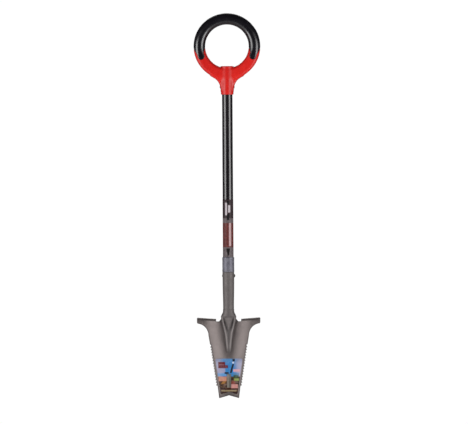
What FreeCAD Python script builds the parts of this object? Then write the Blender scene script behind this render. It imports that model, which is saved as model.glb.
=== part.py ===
"""A root-cutting digging shovel: O handle, straight shaft, steel neck and a saw-toothed blade.

The origin is on the shaft's axis, level with the two digging points. +Z runs up the shaft to the handle,
+X to the right, and the working (front) face of the blade looks along -Y. Millimetres throughout.
"""
import FreeCAD
import Part

import math
import os

Vector = FreeCAD.Vector

# Handle: a round ring on a web that grows out of the shaft's socket.
TOTAL_LENGTH = 1130.0
RING_MAJOR = 80.8
RING_MINOR = 17.0
RING_CENTRE = TOTAL_LENGTH - RING_MAJOR - RING_MINOR
CORE_RADIUS = 11.0
GRIP_START_DEG = 6.0
GRIP_FUNNEL_END_DEG = 15.0
GRIP_MOUTH_MARGIN = 2.0
TONGUE_END_DEG = 28.0
TONGUE_RADIUS = 9.6
HANDLE_SOCKET_RADIUS = 18.5
HANDLE_SOCKET_BOTTOM = 890.5
HANDLE_SOCKET_TOP = 974.3
HANDLE_SOCKET_ROUND = 1.2
HANDLE_BORE_TOP = 962.0
WEB_HALF_DEPTH = 11.0
WEB_BLEND_RADIUS = 53.0
WEB_SIDE_INSET = 0.4
WEB_SHOULDER_DEG = 40.0
WEB_EDGE_ROUND = 4.0

# Shaft: a steel tube cased in resin.
SLEEVE_RADIUS = 15.5
CORE_TUBE_RADIUS = 12.7
CORE_TUBE_WALL = 1.6
SHAFT_FIT = 0.05
SHAFT_LABEL_BOTTOM = 414.7
SHAFT_LABEL_TOP = 582.8
SHAFT_LABEL_THICKNESS = 0.15
COLLAR_RADIUS = 17.65
COLLAR_BOTTOM = 369.6
COLLAR_TOP = 414.1
COLLAR_ROUND = 2.2
COLLAR_RIM = 8.0
COLLAR_RECESS = 0.3
SPIGOT_BOTTOM = 300.0
SPIGOT_BOTTOM_RADIUS = 14.3

# Rivets: one across the handle's socket, one across the neck. Heads are (radius, height).
RIVET_RADIUS = 3.0
HANDLE_RIVET_HEIGHT = 912.7
HANDLE_RIVET_SEAT = 20.4
HANDLE_RIVET_HEAD = (5.0, 1.5)
NECK_RIVET_HEIGHT = 359.3
NECK_RIVET_SEAT = 16.6
NECK_RIVET_HIGH_HEAD = (5.2, 4.0)
NECK_RIVET_LOW_HEAD = (4.6, 1.9)

# Neck: a tapered tube that flares over the blade's top edge and ends in a long tongue on the front.
NECK_TOP_RADIUS = 17.4
NECK_MIDDLE = 317.0
NECK_MIDDLE_RADIUS = 16.8
NECK_WAIST = 279.0
NECK_WAIST_RADIUS = 15.9
NECK_TUBE_END = 250.0
NECK_WALL = 2.0
NECK_STEP = 0.1
FLARE_TOP = 256.0
FLARE_EAR = 240.0
FLARE_EAR_HALF_WIDTH = 21.9
TONGUE_TOP = 231.0
TONGUE_TOP_HALF_WIDTH = 18.9
TONGUE_TIP_HALF_WIDTH = 2.4
TONGUE_TIP_HEIGHT = 0.9
TONGUE_SIDE_POWER = 1.75
REAR_TONGUE_END = 0.9
REAR_TONGUE_POWER = 0.8
TONGUE_TIP = 133.0
REAR_TONGUE_TIP = 184.0
NECK_CAVITY_END = 200.0
TONGUE_CREASE = 0.45
TONGUE_CREASE_TOP = 215.0
TONGUE_CREASE_FADE = 55.0
TONGUE_CREASE_WIDTH = 0.32
NECK_FACETS = 48
NECK_ROWS = 30
NECK_CAVITY_ROWS = 14
NECK_THINNEST = 0.4

# Blade: a pressed sheet with a dished front face.
SHEET = 2.8
PAN_BACK = 4.0
PAN_RISE = 12.5
PAN_RAMP = 62.0
PAN_FLAT_TOP = 16.0
PAN_FLAT_FULL_HEIGHT = 205.0
PAN_FLAT_GONE_HEIGHT = 120.0
PAN_COLUMNS = [-104.0 + 4.0 * i for i in range(53)]
PAN_ROWS = [-10.0 + 13.0 * j for j in range(21)]
BLADE_TOP_CENTRE = 238.0
BLADE_TOP_HALF_WIDTH = 17.9
NOTCH_BOTTOM = 225.5
NOTCH_INNER = 27.5
TIP_HALF_WIDTH = 29.1
TIP_NOTCH_RISE = 8.2
TIP_BEVEL_HEIGHT = 7.0
TIP_EDGE = 0.8
TIP_COLUMNS = [4.0 * i for i in range(9)]
TIP_ROWS = [-3.0 + 3.0 * j for j in range(9)]
SHOULDER_HEIGHT = 158.0
SHOULDER_HALF_WIDTH = 55.0
WING_ARC_CENTRE = (94.5, 184.5)
WING_ARC_RADIUS = 35.0
WING_ARC_MIDDLE_DEG = 140.0
TEETH = 15
TOOTH_PITCH = 7.95
TOOTH_TOP = 156.0
TOOTH_DEPTH = 4.4
TOOTH_RAMP = 6.9
TOOTH_TIP_LOW = (38.1, 37.2)
TOOTH_TIP_HIGH = (54.7, 148.7)

# Treads: the top of each wing is folded to the rear.
TREAD_INNER = 36.8
TREAD_OUTER = 93.0
TREAD_TOP_INNER = 233.0
TREAD_TOP_OUTER = 237.2
TREAD_BEND = 10.0
TREAD_REAR = 18.5
TREAD_CORNER = 3.5
TREAD_PLAN_CORNER = 7.0
TREAD_OVERLAP = 0.12
TREAD_TRIM = 0.02
TREAD_ROOT = 3.0
TREAD_LAP = 0.5
TREAD_STATIONS = 8

# Welds and the blade's sticker.
FRONT_WELD_RADIUS = 1.7
FRONT_WELD_BOTTOM = 134.0
FRONT_WELD_TOP = 229.0
REAR_WELD_RADIUS = 2.4
REAR_WELD_HALF_WIDTH = 16.5
REAR_WELD_DROP = 50.0
WELD_SINK = 0.3
BLADE_LABEL_TOP = 116.0
BLADE_LABEL_TOP_HALF_WIDTH = 40.0
BLADE_LABEL_BOTTOM = 12.0
BLADE_LABEL_BOTTOM_HALF_WIDTH = 24.5
BLADE_LABEL_THICKNESS = 0.2
BLADE_LABEL_CORNER = 4.0

# Working lengths: past everything, just past a face, and how closely edges are matched.
REACH = 200.0
PAST = 1.0
MATCH = 0.01


def front(x, z, y=0.0):
    """A point given by its place in the front view."""
    return Vector(x, y, z)


def mirrored(shape):
    """The same shape on the other side of the X = 0 plane."""
    return shape.mirror(Vector(0, 0, 0), Vector(1, 0, 0))


def through_prism(edges):
    """A block with the given front-view outline, running through the whole depth."""
    wire = Part.Wire(Part.__sortEdges__(edges))
    block = Part.Face(wire).extrude(Vector(0, 2 * REACH, 0))
    block.translate(Vector(0, -REACH, 0))
    return block


def polygon_edges(points, closed=True):
    """Straight edges through the points."""
    ring = points + [points[0]] if closed else points
    return [Part.makeLine(a, b) for a, b in zip(ring, ring[1:])]


def revolved(profile):
    """A solid of revolution about the shaft's axis, from (radius, height) corners."""
    wire = Part.makePolygon([front(r, z) for r, z in profile + profile[:1]])
    return Part.Face(wire).revolve(Vector(0, 0, 0), Vector(0, 0, 1), 360)


def smoothstep(t):
    t = min(max(t, 0.0), 1.0)
    return t * t * (3.0 - 2.0 * t)


def blend(value, low, high, at_low, at_high):
    """Straight interpolation between two heights, held beyond them."""
    t = min(max((value - low) / (high - low), 0.0), 1.0)
    return at_low + (at_high - at_low) * t


# ---------------------------------------------------------------- handle

def ring_torus(minor):
    torus = Part.makeTorus(RING_MAJOR, minor)
    torus.rotate(Vector(0, 0, 0), Vector(1, 0, 0), 90)
    torus.translate(Vector(0, 0, RING_CENTRE))
    return torus


def ring_point(angle_deg, radius=RING_MAJOR):
    """A point on the ring, with the angle counted down from the horizontal on the right."""
    angle = math.radians(angle_deg)
    return front(radius * math.cos(angle), RING_CENTRE - radius * math.sin(angle))


def exposed_arm_region():
    """The part of the ring's plane below both ends of the grip."""
    right = ring_point(GRIP_START_DEG, REACH)
    left = ring_point(180 - GRIP_START_DEG, REACH)
    low_right = front(right.x, RING_CENTRE - REACH)
    low_left = front(left.x, RING_CENTRE - REACH)
    return through_prism(polygon_edges([front(0, RING_CENTRE), right, low_right, low_left, left]))


def grip_tongue_region():
    """The strip of grip down the right arm: it narrows like a funnel and ends in a half round."""
    end_deg = TONGUE_END_DEG - math.degrees(TONGUE_RADIUS / RING_MAJOR)
    inner, outer = RING_MAJOR - TONGUE_RADIUS, RING_MAJOR + TONGUE_RADIUS
    middle_deg = (GRIP_FUNNEL_END_DEG + end_deg) / 2
    half_mouth = RING_MINOR + GRIP_MOUTH_MARGIN
    mouth_inner = ring_point(0, RING_MAJOR - half_mouth)
    mouth_outer = ring_point(0, RING_MAJOR + half_mouth)
    neck_inner = ring_point(GRIP_FUNNEL_END_DEG, inner)
    neck_outer = ring_point(GRIP_FUNNEL_END_DEG, outer)
    end_inner, end_outer = ring_point(end_deg, inner), ring_point(end_deg, outer)
    edges = [
        Part.makeLine(mouth_inner, neck_inner),
        Part.Arc(neck_inner, ring_point(middle_deg, inner), end_inner).toShape(),
        Part.Arc(end_inner, ring_point(TONGUE_END_DEG), end_outer).toShape(),
        Part.Arc(end_outer, ring_point(middle_deg, outer), neck_outer).toShape(),
        Part.makeLine(neck_outer, mouth_outer),
        Part.makeLine(mouth_outer, mouth_inner),
    ]
    return through_prism(edges)


def handle_web():
    """The flat web, whose concave sides run tangent from the socket into the ring's outer circle."""
    outer = RING_MAJOR + RING_MINOR
    centre_x = HANDLE_SOCKET_RADIUS - WEB_SIDE_INSET + WEB_BLEND_RADIUS
    reach = outer + WEB_BLEND_RADIUS
    centre_z = RING_CENTRE - math.sqrt(reach ** 2 - centre_x ** 2)
    centre = front(centre_x, centre_z)
    side_foot = centre + Vector(-WEB_BLEND_RADIUS, 0, 0)
    to_ring = (front(0, RING_CENTRE) - centre).normalize() * WEB_BLEND_RADIUS
    ring_foot = centre + to_ring
    halfway = (to_ring + Vector(-WEB_BLEND_RADIUS, 0, 0)).normalize() * WEB_BLEND_RADIUS
    shoulder = ring_point(WEB_SHOULDER_DEG)
    right_arc = Part.Arc(side_foot, centre + halfway, ring_foot).toShape()
    right_line = Part.makeLine(ring_foot, shoulder)
    foot_line = Part.makeLine(front(-side_foot.x, side_foot.z), side_foot)
    crown = Part.Arc(shoulder, ring_point(90), front(-shoulder.x, shoulder.z)).toShape()
    edges = [foot_line, right_arc, right_line, crown, mirrored(right_arc), mirrored(right_line)]
    web = through_prism(edges).common(Part.makeBox(
        2 * REACH, 2 * WEB_HALF_DEPTH, TOTAL_LENGTH, front(-REACH, 0, -WEB_HALF_DEPTH)))
    rounds = [e for e in web.Edges if abs(e.Length - right_arc.Length) < MATCH]
    return web.makeFillet(WEB_EDGE_ROUND, rounds)


def handle_socket():
    height = HANDLE_SOCKET_TOP - HANDLE_SOCKET_BOTTOM
    socket = Part.makeCylinder(HANDLE_SOCKET_RADIUS, height, front(0, HANDLE_SOCKET_BOTTOM))
    return socket.makeFillet(HANDLE_SOCKET_ROUND, [e for e in socket.Edges if e.Closed])


def handle_bore():
    foot = HANDLE_SOCKET_BOTTOM - PAST
    return Part.makeCylinder(SLEEVE_RADIUS + SHAFT_FIT, HANDLE_BORE_TOP - foot, front(0, foot))


def handle_rivet():
    """A solid rivet across the socket, with a low domed head at each end."""
    shank = cross_pin(RIVET_RADIUS, -HANDLE_RIVET_SEAT, HANDLE_RIVET_SEAT, HANDLE_RIVET_HEIGHT)
    head = rivet_head(*HANDLE_RIVET_HEAD)
    head.translate(front(HANDLE_RIVET_SEAT, HANDLE_RIVET_HEIGHT))
    return shank.fuse([head, mirrored(head)]).removeSplitter()


def make_handle():
    core = ring_torus(CORE_RADIUS)
    ring = ring_torus(RING_MINOR)
    region = exposed_arm_region()
    tongue = grip_tongue_region()
    tongues = tongue.fuse(mirrored(tongue))
    arms = ring.common(region)
    rivet = handle_rivet()
    body = core.fuse([arms.cut(tongues), handle_web().cut(tongues), handle_socket()]).removeSplitter()
    body = body.cut(handle_bore()).cut(rivet)
    grip = ring.cut(region).fuse(arms.common(tongues)).cut(core).removeSplitter()
    return {"handle_body": body, "grip_overmould": grip.cut(body), "handle_rivet": rivet}


# ---------------------------------------------------------------- rivets

def cross_pin(radius, left, right, height):
    return Part.makeCylinder(radius, right - left, front(left, height), Vector(1, 0, 0))


def rivet_head(radius, height):
    """A domed head on the plane X = 0, standing towards +X."""
    dome_radius = (radius ** 2 + height ** 2) / (2 * height)
    dome = Part.makeSphere(dome_radius, front(height - dome_radius, 0))
    keep = Part.makeCylinder(radius, height, front(0, 0), Vector(1, 0, 0))
    return dome.common(keep)


def neck_rivet():
    """The neck's rivet: a high factory head on the right and a low closed head on the left."""
    shank = cross_pin(RIVET_RADIUS, -NECK_RIVET_SEAT, NECK_RIVET_SEAT, NECK_RIVET_HEIGHT)
    high = rivet_head(*NECK_RIVET_HIGH_HEAD)
    high.translate(front(NECK_RIVET_SEAT, NECK_RIVET_HEIGHT))
    low = mirrored(rivet_head(*NECK_RIVET_LOW_HEAD))
    low.translate(front(-NECK_RIVET_SEAT, NECK_RIVET_HEIGHT))
    return shank.fuse([high, low]).removeSplitter()


# ---------------------------------------------------------------- shaft

def core_tube():
    length = HANDLE_BORE_TOP - SPIGOT_BOTTOM
    foot = front(0, SPIGOT_BOTTOM)
    outer = Part.makeCylinder(CORE_TUBE_RADIUS, length, foot)
    return outer.cut(Part.makeCylinder(CORE_TUBE_RADIUS - CORE_TUBE_WALL, length, foot))


def sleeve():
    """The resin casing: straight down to the collar, then tapered into the neck."""
    return revolved([
        (CORE_TUBE_RADIUS, SPIGOT_BOTTOM),
        (SPIGOT_BOTTOM_RADIUS, SPIGOT_BOTTOM),
        (SLEEVE_RADIUS, COLLAR_BOTTOM),
        (SLEEVE_RADIUS, HANDLE_BORE_TOP),
        (CORE_TUBE_RADIUS, HANDLE_BORE_TOP),
    ])


def shaft_label():
    return revolved([
        (SLEEVE_RADIUS, SHAFT_LABEL_BOTTOM),
        (SLEEVE_RADIUS + SHAFT_LABEL_THICKNESS, SHAFT_LABEL_BOTTOM),
        (SLEEVE_RADIUS + SHAFT_LABEL_THICKNESS, SHAFT_LABEL_TOP),
        (SLEEVE_RADIUS, SHAFT_LABEL_TOP),
    ])


def collar():
    """The ferrule between resin and neck, with a rounded rim at each end and a shallow band between."""
    height = COLLAR_TOP - COLLAR_BOTTOM
    ferrule = Part.makeCylinder(COLLAR_RADIUS, height, front(0, COLLAR_BOTTOM))
    ferrule = ferrule.makeFillet(COLLAR_ROUND, [e for e in ferrule.Edges if e.Closed])
    band_foot = front(0, COLLAR_BOTTOM + COLLAR_RIM)
    band = Part.makeCylinder(COLLAR_RADIUS + PAST, height - 2 * COLLAR_RIM, band_foot)
    core = Part.makeCylinder(COLLAR_RADIUS - COLLAR_RECESS, height, front(0, COLLAR_BOTTOM))
    bore = Part.makeCylinder(SLEEVE_RADIUS + SHAFT_FIT, height, front(0, COLLAR_BOTTOM))
    return ferrule.cut(band.cut(core)).cut(bore)


def make_shaft(rivets):
    """The shaft's pieces, each drilled for the rivets that cross it."""
    pieces = {"shaft_core_tube": core_tube(), "shaft_sleeve": sleeve()}
    for name, piece in pieces.items():
        for rivet in rivets:
            piece = piece.cut(rivet)
        pieces[name] = piece
    pieces["shaft_label"] = shaft_label()
    pieces["collar"] = collar()
    return pieces


# ---------------------------------------------------------------- blade

def pan_y(x, z):
    """How far back the blade's front face lies: a dish whose floor is flat beside the tongue."""
    flat = blend(z, PAN_FLAT_GONE_HEIGHT, PAN_FLAT_FULL_HEIGHT, 0.0, PAN_FLAT_TOP)
    return PAN_BACK - PAN_RISE * smoothstep((abs(x) - flat) / PAN_RAMP)


def pan_sheet(columns, rows, offset):
    """A smooth surface that lies behind the blade's front face by offset(x, z)."""
    surface = Part.BSplineSurface()
    surface.interpolate([[Vector(x, pan_y(x, z) + offset(x, z), z) for z in rows] for x in columns])
    return surface.toShape()


def pan_face():
    """The blade's whole front face."""
    return pan_sheet(PAN_COLUMNS, PAN_ROWS, lambda x, z: 0.0)


def tip_grinding():
    """What is ground off the back of the tip's right half, so that its edge is thin."""
    def depth_left(x, z):
        above_edge = z - TIP_NOTCH_RISE * (1 - x / TIP_HALF_WIDTH)
        return TIP_EDGE + (SHEET - TIP_EDGE) * above_edge / TIP_BEVEL_HEIGHT

    return pan_sheet(TIP_COLUMNS, TIP_ROWS, depth_left).extrude(Vector(0, 4 * SHEET, 0))


def tooth_tip_x(z):
    """The straight line that the teeth's tips lie on."""
    (x_low, z_low), (x_high, z_high) = TOOTH_TIP_LOW, TOOTH_TIP_HIGH
    return x_low + (z - z_low) * (x_high - x_low) / (z_high - z_low)


def tooth_points():
    """The right side's saw teeth from the top down: each slopes out, then steps in under its tip."""
    points = []
    for i in range(TEETH):
        top = TOOTH_TOP - i * TOOTH_PITCH
        points.append(front(tooth_tip_x(top) - TOOTH_DEPTH, top))
        points.append(front(tooth_tip_x(top - TOOTH_RAMP), top - TOOTH_RAMP))
    end = TOOTH_TOP - TEETH * TOOTH_PITCH
    points.append(front(tooth_tip_x(end) - TOOTH_DEPTH, end))
    return points


def tread_top(x):
    return blend(x, TREAD_INNER, TREAD_OUTER, TREAD_TOP_INNER, TREAD_TOP_OUTER)


def bend_start(x):
    """The height where the sheet starts to fold, on its front face."""
    return tread_top(x) - TREAD_BEND


def right_outline():
    """The right half of the blade in the front view, from the top centre round to the tip's notch."""
    arc_x, arc_z = WING_ARC_CENTRE
    wing_side = front(arc_x - WING_ARC_RADIUS, arc_z)
    wing_end_z = arc_z + math.sqrt(WING_ARC_RADIUS ** 2 - (TREAD_OUTER - arc_x) ** 2)
    wing_end = front(TREAD_OUTER, wing_end_z)
    middle = math.radians(WING_ARC_MIDDLE_DEG)
    wing_middle = front(arc_x + WING_ARC_RADIUS * math.cos(middle),
                        arc_z + WING_ARC_RADIUS * math.sin(middle))
    top = [
        front(0, BLADE_TOP_CENTRE),
        front(BLADE_TOP_HALF_WIDTH, BLADE_TOP_CENTRE),
        front(NOTCH_INNER, NOTCH_BOTTOM),
        front(TREAD_INNER, NOTCH_BOTTOM),
        front(TREAD_INNER, bend_start(TREAD_INNER) + TREAD_LAP),
        front(TREAD_OUTER, bend_start(TREAD_OUTER) + TREAD_LAP),
        wing_end,
    ]
    side = [wing_side, front(SHOULDER_HALF_WIDTH, SHOULDER_HEIGHT)] + tooth_points()
    tip = [side[-1], front(TIP_HALF_WIDTH, 0), front(0, TIP_NOTCH_RISE)]
    arc = Part.Arc(wing_end, wing_middle, wing_side).toShape()
    return polygon_edges(top, False) + [arc] + polygon_edges(side, False) + polygon_edges(tip, False)


def tread_section(x):
    """The folded sheet at one place across the tread, as a closed wire in the plane of that X."""
    y0 = pan_y(x, TREAD_TOP_OUTER) + TREAD_OVERLAP
    thickness = SHEET - 2 * TREAD_OVERLAP
    bottom, top = bend_start(x) - TREAD_ROOT, tread_top(x)
    bend_y, bend_z = y0 + TREAD_BEND, top - TREAD_BEND
    inner_bend = TREAD_BEND - thickness
    corner = math.sqrt(0.5)

    def at(y, z):
        return Vector(x, y, z)

    outer_arc = Part.Arc(at(y0, bend_z), at(bend_y - TREAD_BEND * corner, bend_z + TREAD_BEND * corner),
                         at(bend_y, top))
    inner_arc = Part.Arc(at(bend_y, top - thickness),
                         at(bend_y - inner_bend * corner, bend_z + inner_bend * corner),
                         at(y0 + thickness, bend_z))
    return Part.Wire([
        Part.makeLine(at(y0, bottom), at(y0, bend_z)),
        outer_arc.toShape(),
        Part.makeLine(at(bend_y, top), at(TREAD_REAR, top)),
        Part.makeLine(at(TREAD_REAR, top), at(TREAD_REAR, top - thickness)),
        Part.makeLine(at(TREAD_REAR, top - thickness), at(bend_y, top - thickness)),
        inner_arc.toShape(),
        Part.makeLine(at(y0 + thickness, bend_z), at(y0 + thickness, bottom)),
        Part.makeLine(at(y0 + thickness, bottom), at(y0, bottom)),
    ])


def tread():
    """The right tread, its outer rear corner rounded in plan."""
    step = (TREAD_OUTER - TREAD_INNER) / (TREAD_STATIONS - 1)
    sections = [tread_section(TREAD_INNER + i * step) for i in range(TREAD_STATIONS)]
    strip = Part.makeLoft(sections, True, False)
    plan = Part.makeBox(TREAD_OUTER, 2 * REACH, 2 * REACH, front(0, 0, TREAD_REAR - 2 * REACH))
    corners = [e for e in plan.Edges if abs(e.BoundBox.XMin - TREAD_OUTER) < MATCH
               and abs(e.BoundBox.YMin - TREAD_REAR) < MATCH and e.BoundBox.ZLength > REACH]
    strip = strip.common(plan.makeFillet(TREAD_PLAN_CORNER, corners))
    trim = front(0, -TREAD_TRIM)
    above = TREAD_TOP_OUTER + PAST
    waste = [front(TREAD_INNER, TREAD_TOP_INNER) + trim, front(TREAD_OUTER, TREAD_TOP_OUTER) + trim,
             front(TREAD_OUTER, above), front(TREAD_INNER, above)]
    return strip.cut(through_prism(polygon_edges(waste)))


def corner_waste(z, up):
    """What rounding takes off the wing's outer end in the front view, at its top or bottom corner."""
    centre_x, centre_z = TREAD_OUTER - TREAD_CORNER, z - up * TREAD_CORNER
    foot = front(centre_x, min(z, centre_z), -REACH)
    block = Part.makeBox(TREAD_CORNER + PAST, 2 * REACH, TREAD_CORNER, foot)
    return block.cut(Part.makeCylinder(
        TREAD_CORNER, 2 * REACH, front(centre_x, centre_z, -REACH), Vector(0, 1, 0)))


def make_blade(face):
    right = right_outline()
    outline = through_prism(right + [mirrored(e) for e in right])
    slab = face.extrude(Vector(0, SHEET, 0)).common(outline)
    right_tread = tread()
    blade = slab.fuse([right_tread, mirrored(right_tread)])
    wing_bottom = WING_ARC_CENTRE[1] + WING_ARC_RADIUS
    for waste in [corner_waste(TREAD_TOP_OUTER, 1), corner_waste(wing_bottom, -1), tip_grinding()]:
        blade = blade.cut([waste, mirrored(waste)])
    return blade


def blade_label(face):
    """The sticker: a tapered sheet on the pan, its bottom edge following the inverted V."""
    thickness = BLADE_LABEL_THICKNESS
    skin = face.extrude(Vector(0, -thickness, 0))
    rise = TIP_NOTCH_RISE * BLADE_LABEL_BOTTOM_HALF_WIDTH / TIP_HALF_WIDTH
    points = [
        front(BLADE_LABEL_TOP_HALF_WIDTH, BLADE_LABEL_TOP),
        front(BLADE_LABEL_BOTTOM_HALF_WIDTH, BLADE_LABEL_BOTTOM),
        front(0, BLADE_LABEL_BOTTOM + rise),
        front(-BLADE_LABEL_BOTTOM_HALF_WIDTH, BLADE_LABEL_BOTTOM),
        front(-BLADE_LABEL_TOP_HALF_WIDTH, BLADE_LABEL_TOP),
    ]
    block = through_prism(polygon_edges(points))
    corners = [e for e in block.Edges if e.BoundBox.YLength > REACH and abs(e.BoundBox.XMin) > PAST]
    return skin.common(block.makeFillet(BLADE_LABEL_CORNER, corners))


# ---------------------------------------------------------------- neck

def neck_half_width(z):
    """Half the neck's width in the front view, from the flare's ears down to the tongue's point."""
    if z >= FLARE_EAR:
        return NECK_WAIST_RADIUS + (FLARE_EAR_HALF_WIDTH - NECK_WAIST_RADIUS) * smoothstep(
            (FLARE_TOP - z) / (FLARE_TOP - FLARE_EAR))
    if z >= TONGUE_TOP:
        return FLARE_EAR_HALF_WIDTH + (TONGUE_TOP_HALF_WIDTH - FLARE_EAR_HALF_WIDTH) * smoothstep(
            (FLARE_EAR - z) / (FLARE_EAR - TONGUE_TOP))
    share = max((z - TONGUE_TIP) / (TONGUE_TOP - TONGUE_TIP), 0.0) ** TONGUE_SIDE_POWER
    return TONGUE_TIP_HALF_WIDTH + (TONGUE_TOP_HALF_WIDTH - TONGUE_TIP_HALF_WIDTH) * share


def neck_edge_y(z):
    """How far back the neck's widest line lies: on the axis above the flare, inside the sheet below it."""
    return (PAN_BACK + SHEET / 2) * smoothstep((FLARE_TOP - z) / (FLARE_TOP - TONGUE_TOP))


def neck_front_height(z):
    tube_front = NECK_WAIST_RADIUS + neck_edge_y(z)
    return blend(z, TONGUE_TIP, TONGUE_TOP, SHEET / 2 + TONGUE_TIP_HEIGHT, tube_front)


def neck_rear_height(z):
    tube_rear = NECK_WAIST_RADIUS - neck_edge_y(z)
    if z >= TONGUE_TOP:
        return tube_rear
    share = max((z - REAR_TONGUE_TIP) / (TONGUE_TOP - REAR_TONGUE_TIP), 0.0) ** REAR_TONGUE_POWER
    return REAR_TONGUE_END + (tube_rear - REAR_TONGUE_END) * share


def neck_section(z, inset):
    """One closed section of the flare and tongue: a rear half and a front half that meet at the sides."""
    half_width = neck_half_width(z) - inset
    rear = max(neck_rear_height(z) - inset, NECK_THINNEST)
    front_height = neck_front_height(z) - inset
    crease = TONGUE_CREASE * smoothstep((TONGUE_CREASE_TOP - z) / TONGUE_CREASE_FADE)
    points = []
    for i in range(NECK_FACETS + 1):
        angle = 2 * math.pi * (i / NECK_FACETS - 0.25)
        across = math.cos(angle)
        dip = 1.0 - crease * math.exp(-(across / TONGUE_CREASE_WIDTH) ** 2)
        height = rear if math.sin(angle) >= 0 else front_height * dip
        points.append(Vector(half_width * across, neck_edge_y(z) + height * math.sin(angle), z))
    return points


def neck_flare(bottom, rows, inset=0.0):
    """The flare and tongue as one closed solid, from its top down to the given height."""
    step = (FLARE_TOP - bottom) / rows
    sections = [neck_section(FLARE_TOP - step * j, inset) for j in range(rows + 1)]
    surface = Part.BSplineSurface()
    surface.interpolate([list(column) for column in zip(*sections)])
    side = surface.toShape()
    rims = [e for e in side.Edges if e.BoundBox.ZLength < MATCH]
    shell = Part.makeShell([side] + [Part.Face(Part.Wire([rim])) for rim in rims])
    shell.sewShape()
    return Part.makeSolid(shell)


def neck(blade, rivet):
    """The tapered tube, its flare and tongue, hollow down to the tongue and slotted over the blade."""
    tube_radius = NECK_WAIST_RADIUS + NECK_STEP
    tube = revolved([
        (0, NECK_TUBE_END), (tube_radius, NECK_TUBE_END), (tube_radius, NECK_WAIST),
        (NECK_MIDDLE_RADIUS, NECK_MIDDLE), (NECK_TOP_RADIUS, COLLAR_BOTTOM), (0, COLLAR_BOTTOM),
    ])
    bore_radius = tube_radius - NECK_WALL
    bore = revolved([
        (0, NECK_TUBE_END), (bore_radius, NECK_TUBE_END), (bore_radius, NECK_WAIST),
        (SPIGOT_BOTTOM_RADIUS + SHAFT_FIT, SPIGOT_BOTTOM), (SLEEVE_RADIUS + SHAFT_FIT, COLLAR_BOTTOM),
        (0, COLLAR_BOTTOM),
    ])
    outer = tube.fuse(neck_flare(TONGUE_TIP, NECK_ROWS))
    inner = bore.fuse(neck_flare(NECK_CAVITY_END, NECK_CAVITY_ROWS, NECK_WALL))
    return outer.cut(inner).cut(blade).cut(rivet)


# ---------------------------------------------------------------- welds

def swept_bead(points, radius):
    spline = Part.BSplineCurve()
    spline.interpolate(points)
    path = Part.Wire([spline.toShape()])
    start, ahead = points[0], points[1]
    circle = Part.Wire([Part.makeCircle(radius, start, ahead - start)])
    return path.makePipeShell([circle], True, True)


def front_weld():
    """The bead down the right side of the front tongue."""
    count = 12
    step = (FRONT_WELD_TOP - FRONT_WELD_BOTTOM) / (count - 1)
    heights = [FRONT_WELD_BOTTOM + step * i for i in range(count)]
    path = [front(neck_half_width(z) + WELD_SINK, z, pan_y(neck_half_width(z), z) - WELD_SINK)
            for z in heights]
    return swept_bead(path, FRONT_WELD_RADIUS)


def rear_weld():
    """The bead round the short tongue at the back of the blade."""
    count = 17
    back = PAN_BACK + SHEET + WELD_SINK
    angles = [math.pi * i / (count - 1) for i in range(count)]
    path = [front(REAR_WELD_HALF_WIDTH * math.cos(a), TONGUE_TOP - REAR_WELD_DROP * math.sin(a), back)
            for a in angles]
    return swept_bead(path, REAR_WELD_RADIUS)


def largest_solid(shape):
    return max(shape.Solids, key=lambda s: s.Volume)


def make_lower_end(rivet):
    face = pan_face()
    blade = make_blade(face)
    socket = neck(blade, rivet)
    bead = front_weld()
    welds = {"front_weld_right": bead, "front_weld_left": mirrored(bead), "rear_weld": rear_weld()}
    pieces = {"blade": blade, "neck_socket": socket, "blade_label": blade_label(face)}
    for name, weld in welds.items():
        pieces[name] = largest_solid(weld.cut(blade).cut(socket))
    return pieces


def export(pieces):
    os.makedirs("parts", exist_ok=True)
    for name, shape in pieces.items():
        solid = shape.Solids[0] if len(shape.Solids) == 1 else shape
        print(name, "solids", len(shape.Solids), "valid", shape.isValid(), "mm3", round(shape.Volume))
        solid.exportStep(os.path.join("parts", name + ".step"))


def main():
    pieces = make_handle()
    rivet = neck_rivet()
    pieces.update(make_shaft([pieces["handle_rivet"], rivet]))
    pieces["neck_rivet"] = rivet
    pieces.update(make_lower_end(rivet))
    export(pieces)


main()
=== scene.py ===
"""The looks of a root-cutting digging shovel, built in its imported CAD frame.

Shapes are worked out in millimetres and stored in metres. +Z runs up the shaft, +X is right, -Y is the front.
Rounded and blended pieces are level sets of a distance-like field, meshed by surface_net(); turned pieces
are lathe profiles; the welds are swept beads; the stickers are thin sheets laid on the blade and the shaft.
"""
import math

import bpy
import numpy as np
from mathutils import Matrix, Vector


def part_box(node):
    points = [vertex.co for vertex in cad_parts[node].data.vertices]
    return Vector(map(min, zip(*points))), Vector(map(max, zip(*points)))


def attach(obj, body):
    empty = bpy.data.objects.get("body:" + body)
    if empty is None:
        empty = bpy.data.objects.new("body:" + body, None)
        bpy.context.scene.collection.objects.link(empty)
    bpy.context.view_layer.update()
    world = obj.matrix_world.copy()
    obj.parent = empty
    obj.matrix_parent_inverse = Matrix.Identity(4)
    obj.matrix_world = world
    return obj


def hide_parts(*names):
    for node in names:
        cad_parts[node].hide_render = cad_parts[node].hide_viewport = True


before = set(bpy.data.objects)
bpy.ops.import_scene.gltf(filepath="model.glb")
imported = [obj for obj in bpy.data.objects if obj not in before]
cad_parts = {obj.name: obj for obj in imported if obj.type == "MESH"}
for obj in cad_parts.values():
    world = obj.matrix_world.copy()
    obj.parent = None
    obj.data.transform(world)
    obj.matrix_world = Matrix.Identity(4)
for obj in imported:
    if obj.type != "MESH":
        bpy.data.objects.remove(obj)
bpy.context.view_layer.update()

MM = 0.001


def box_mm(node):
    """Lowest and highest corners of a CAD node, in millimetres."""
    low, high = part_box(node)
    return np.array(low) / MM, np.array(high) / MM


def middle_height(node):
    low, high = box_mm(node)
    return (low[2] + high[2]) / 2


# ------ sizes in mm, the first ones read from the frame

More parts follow.
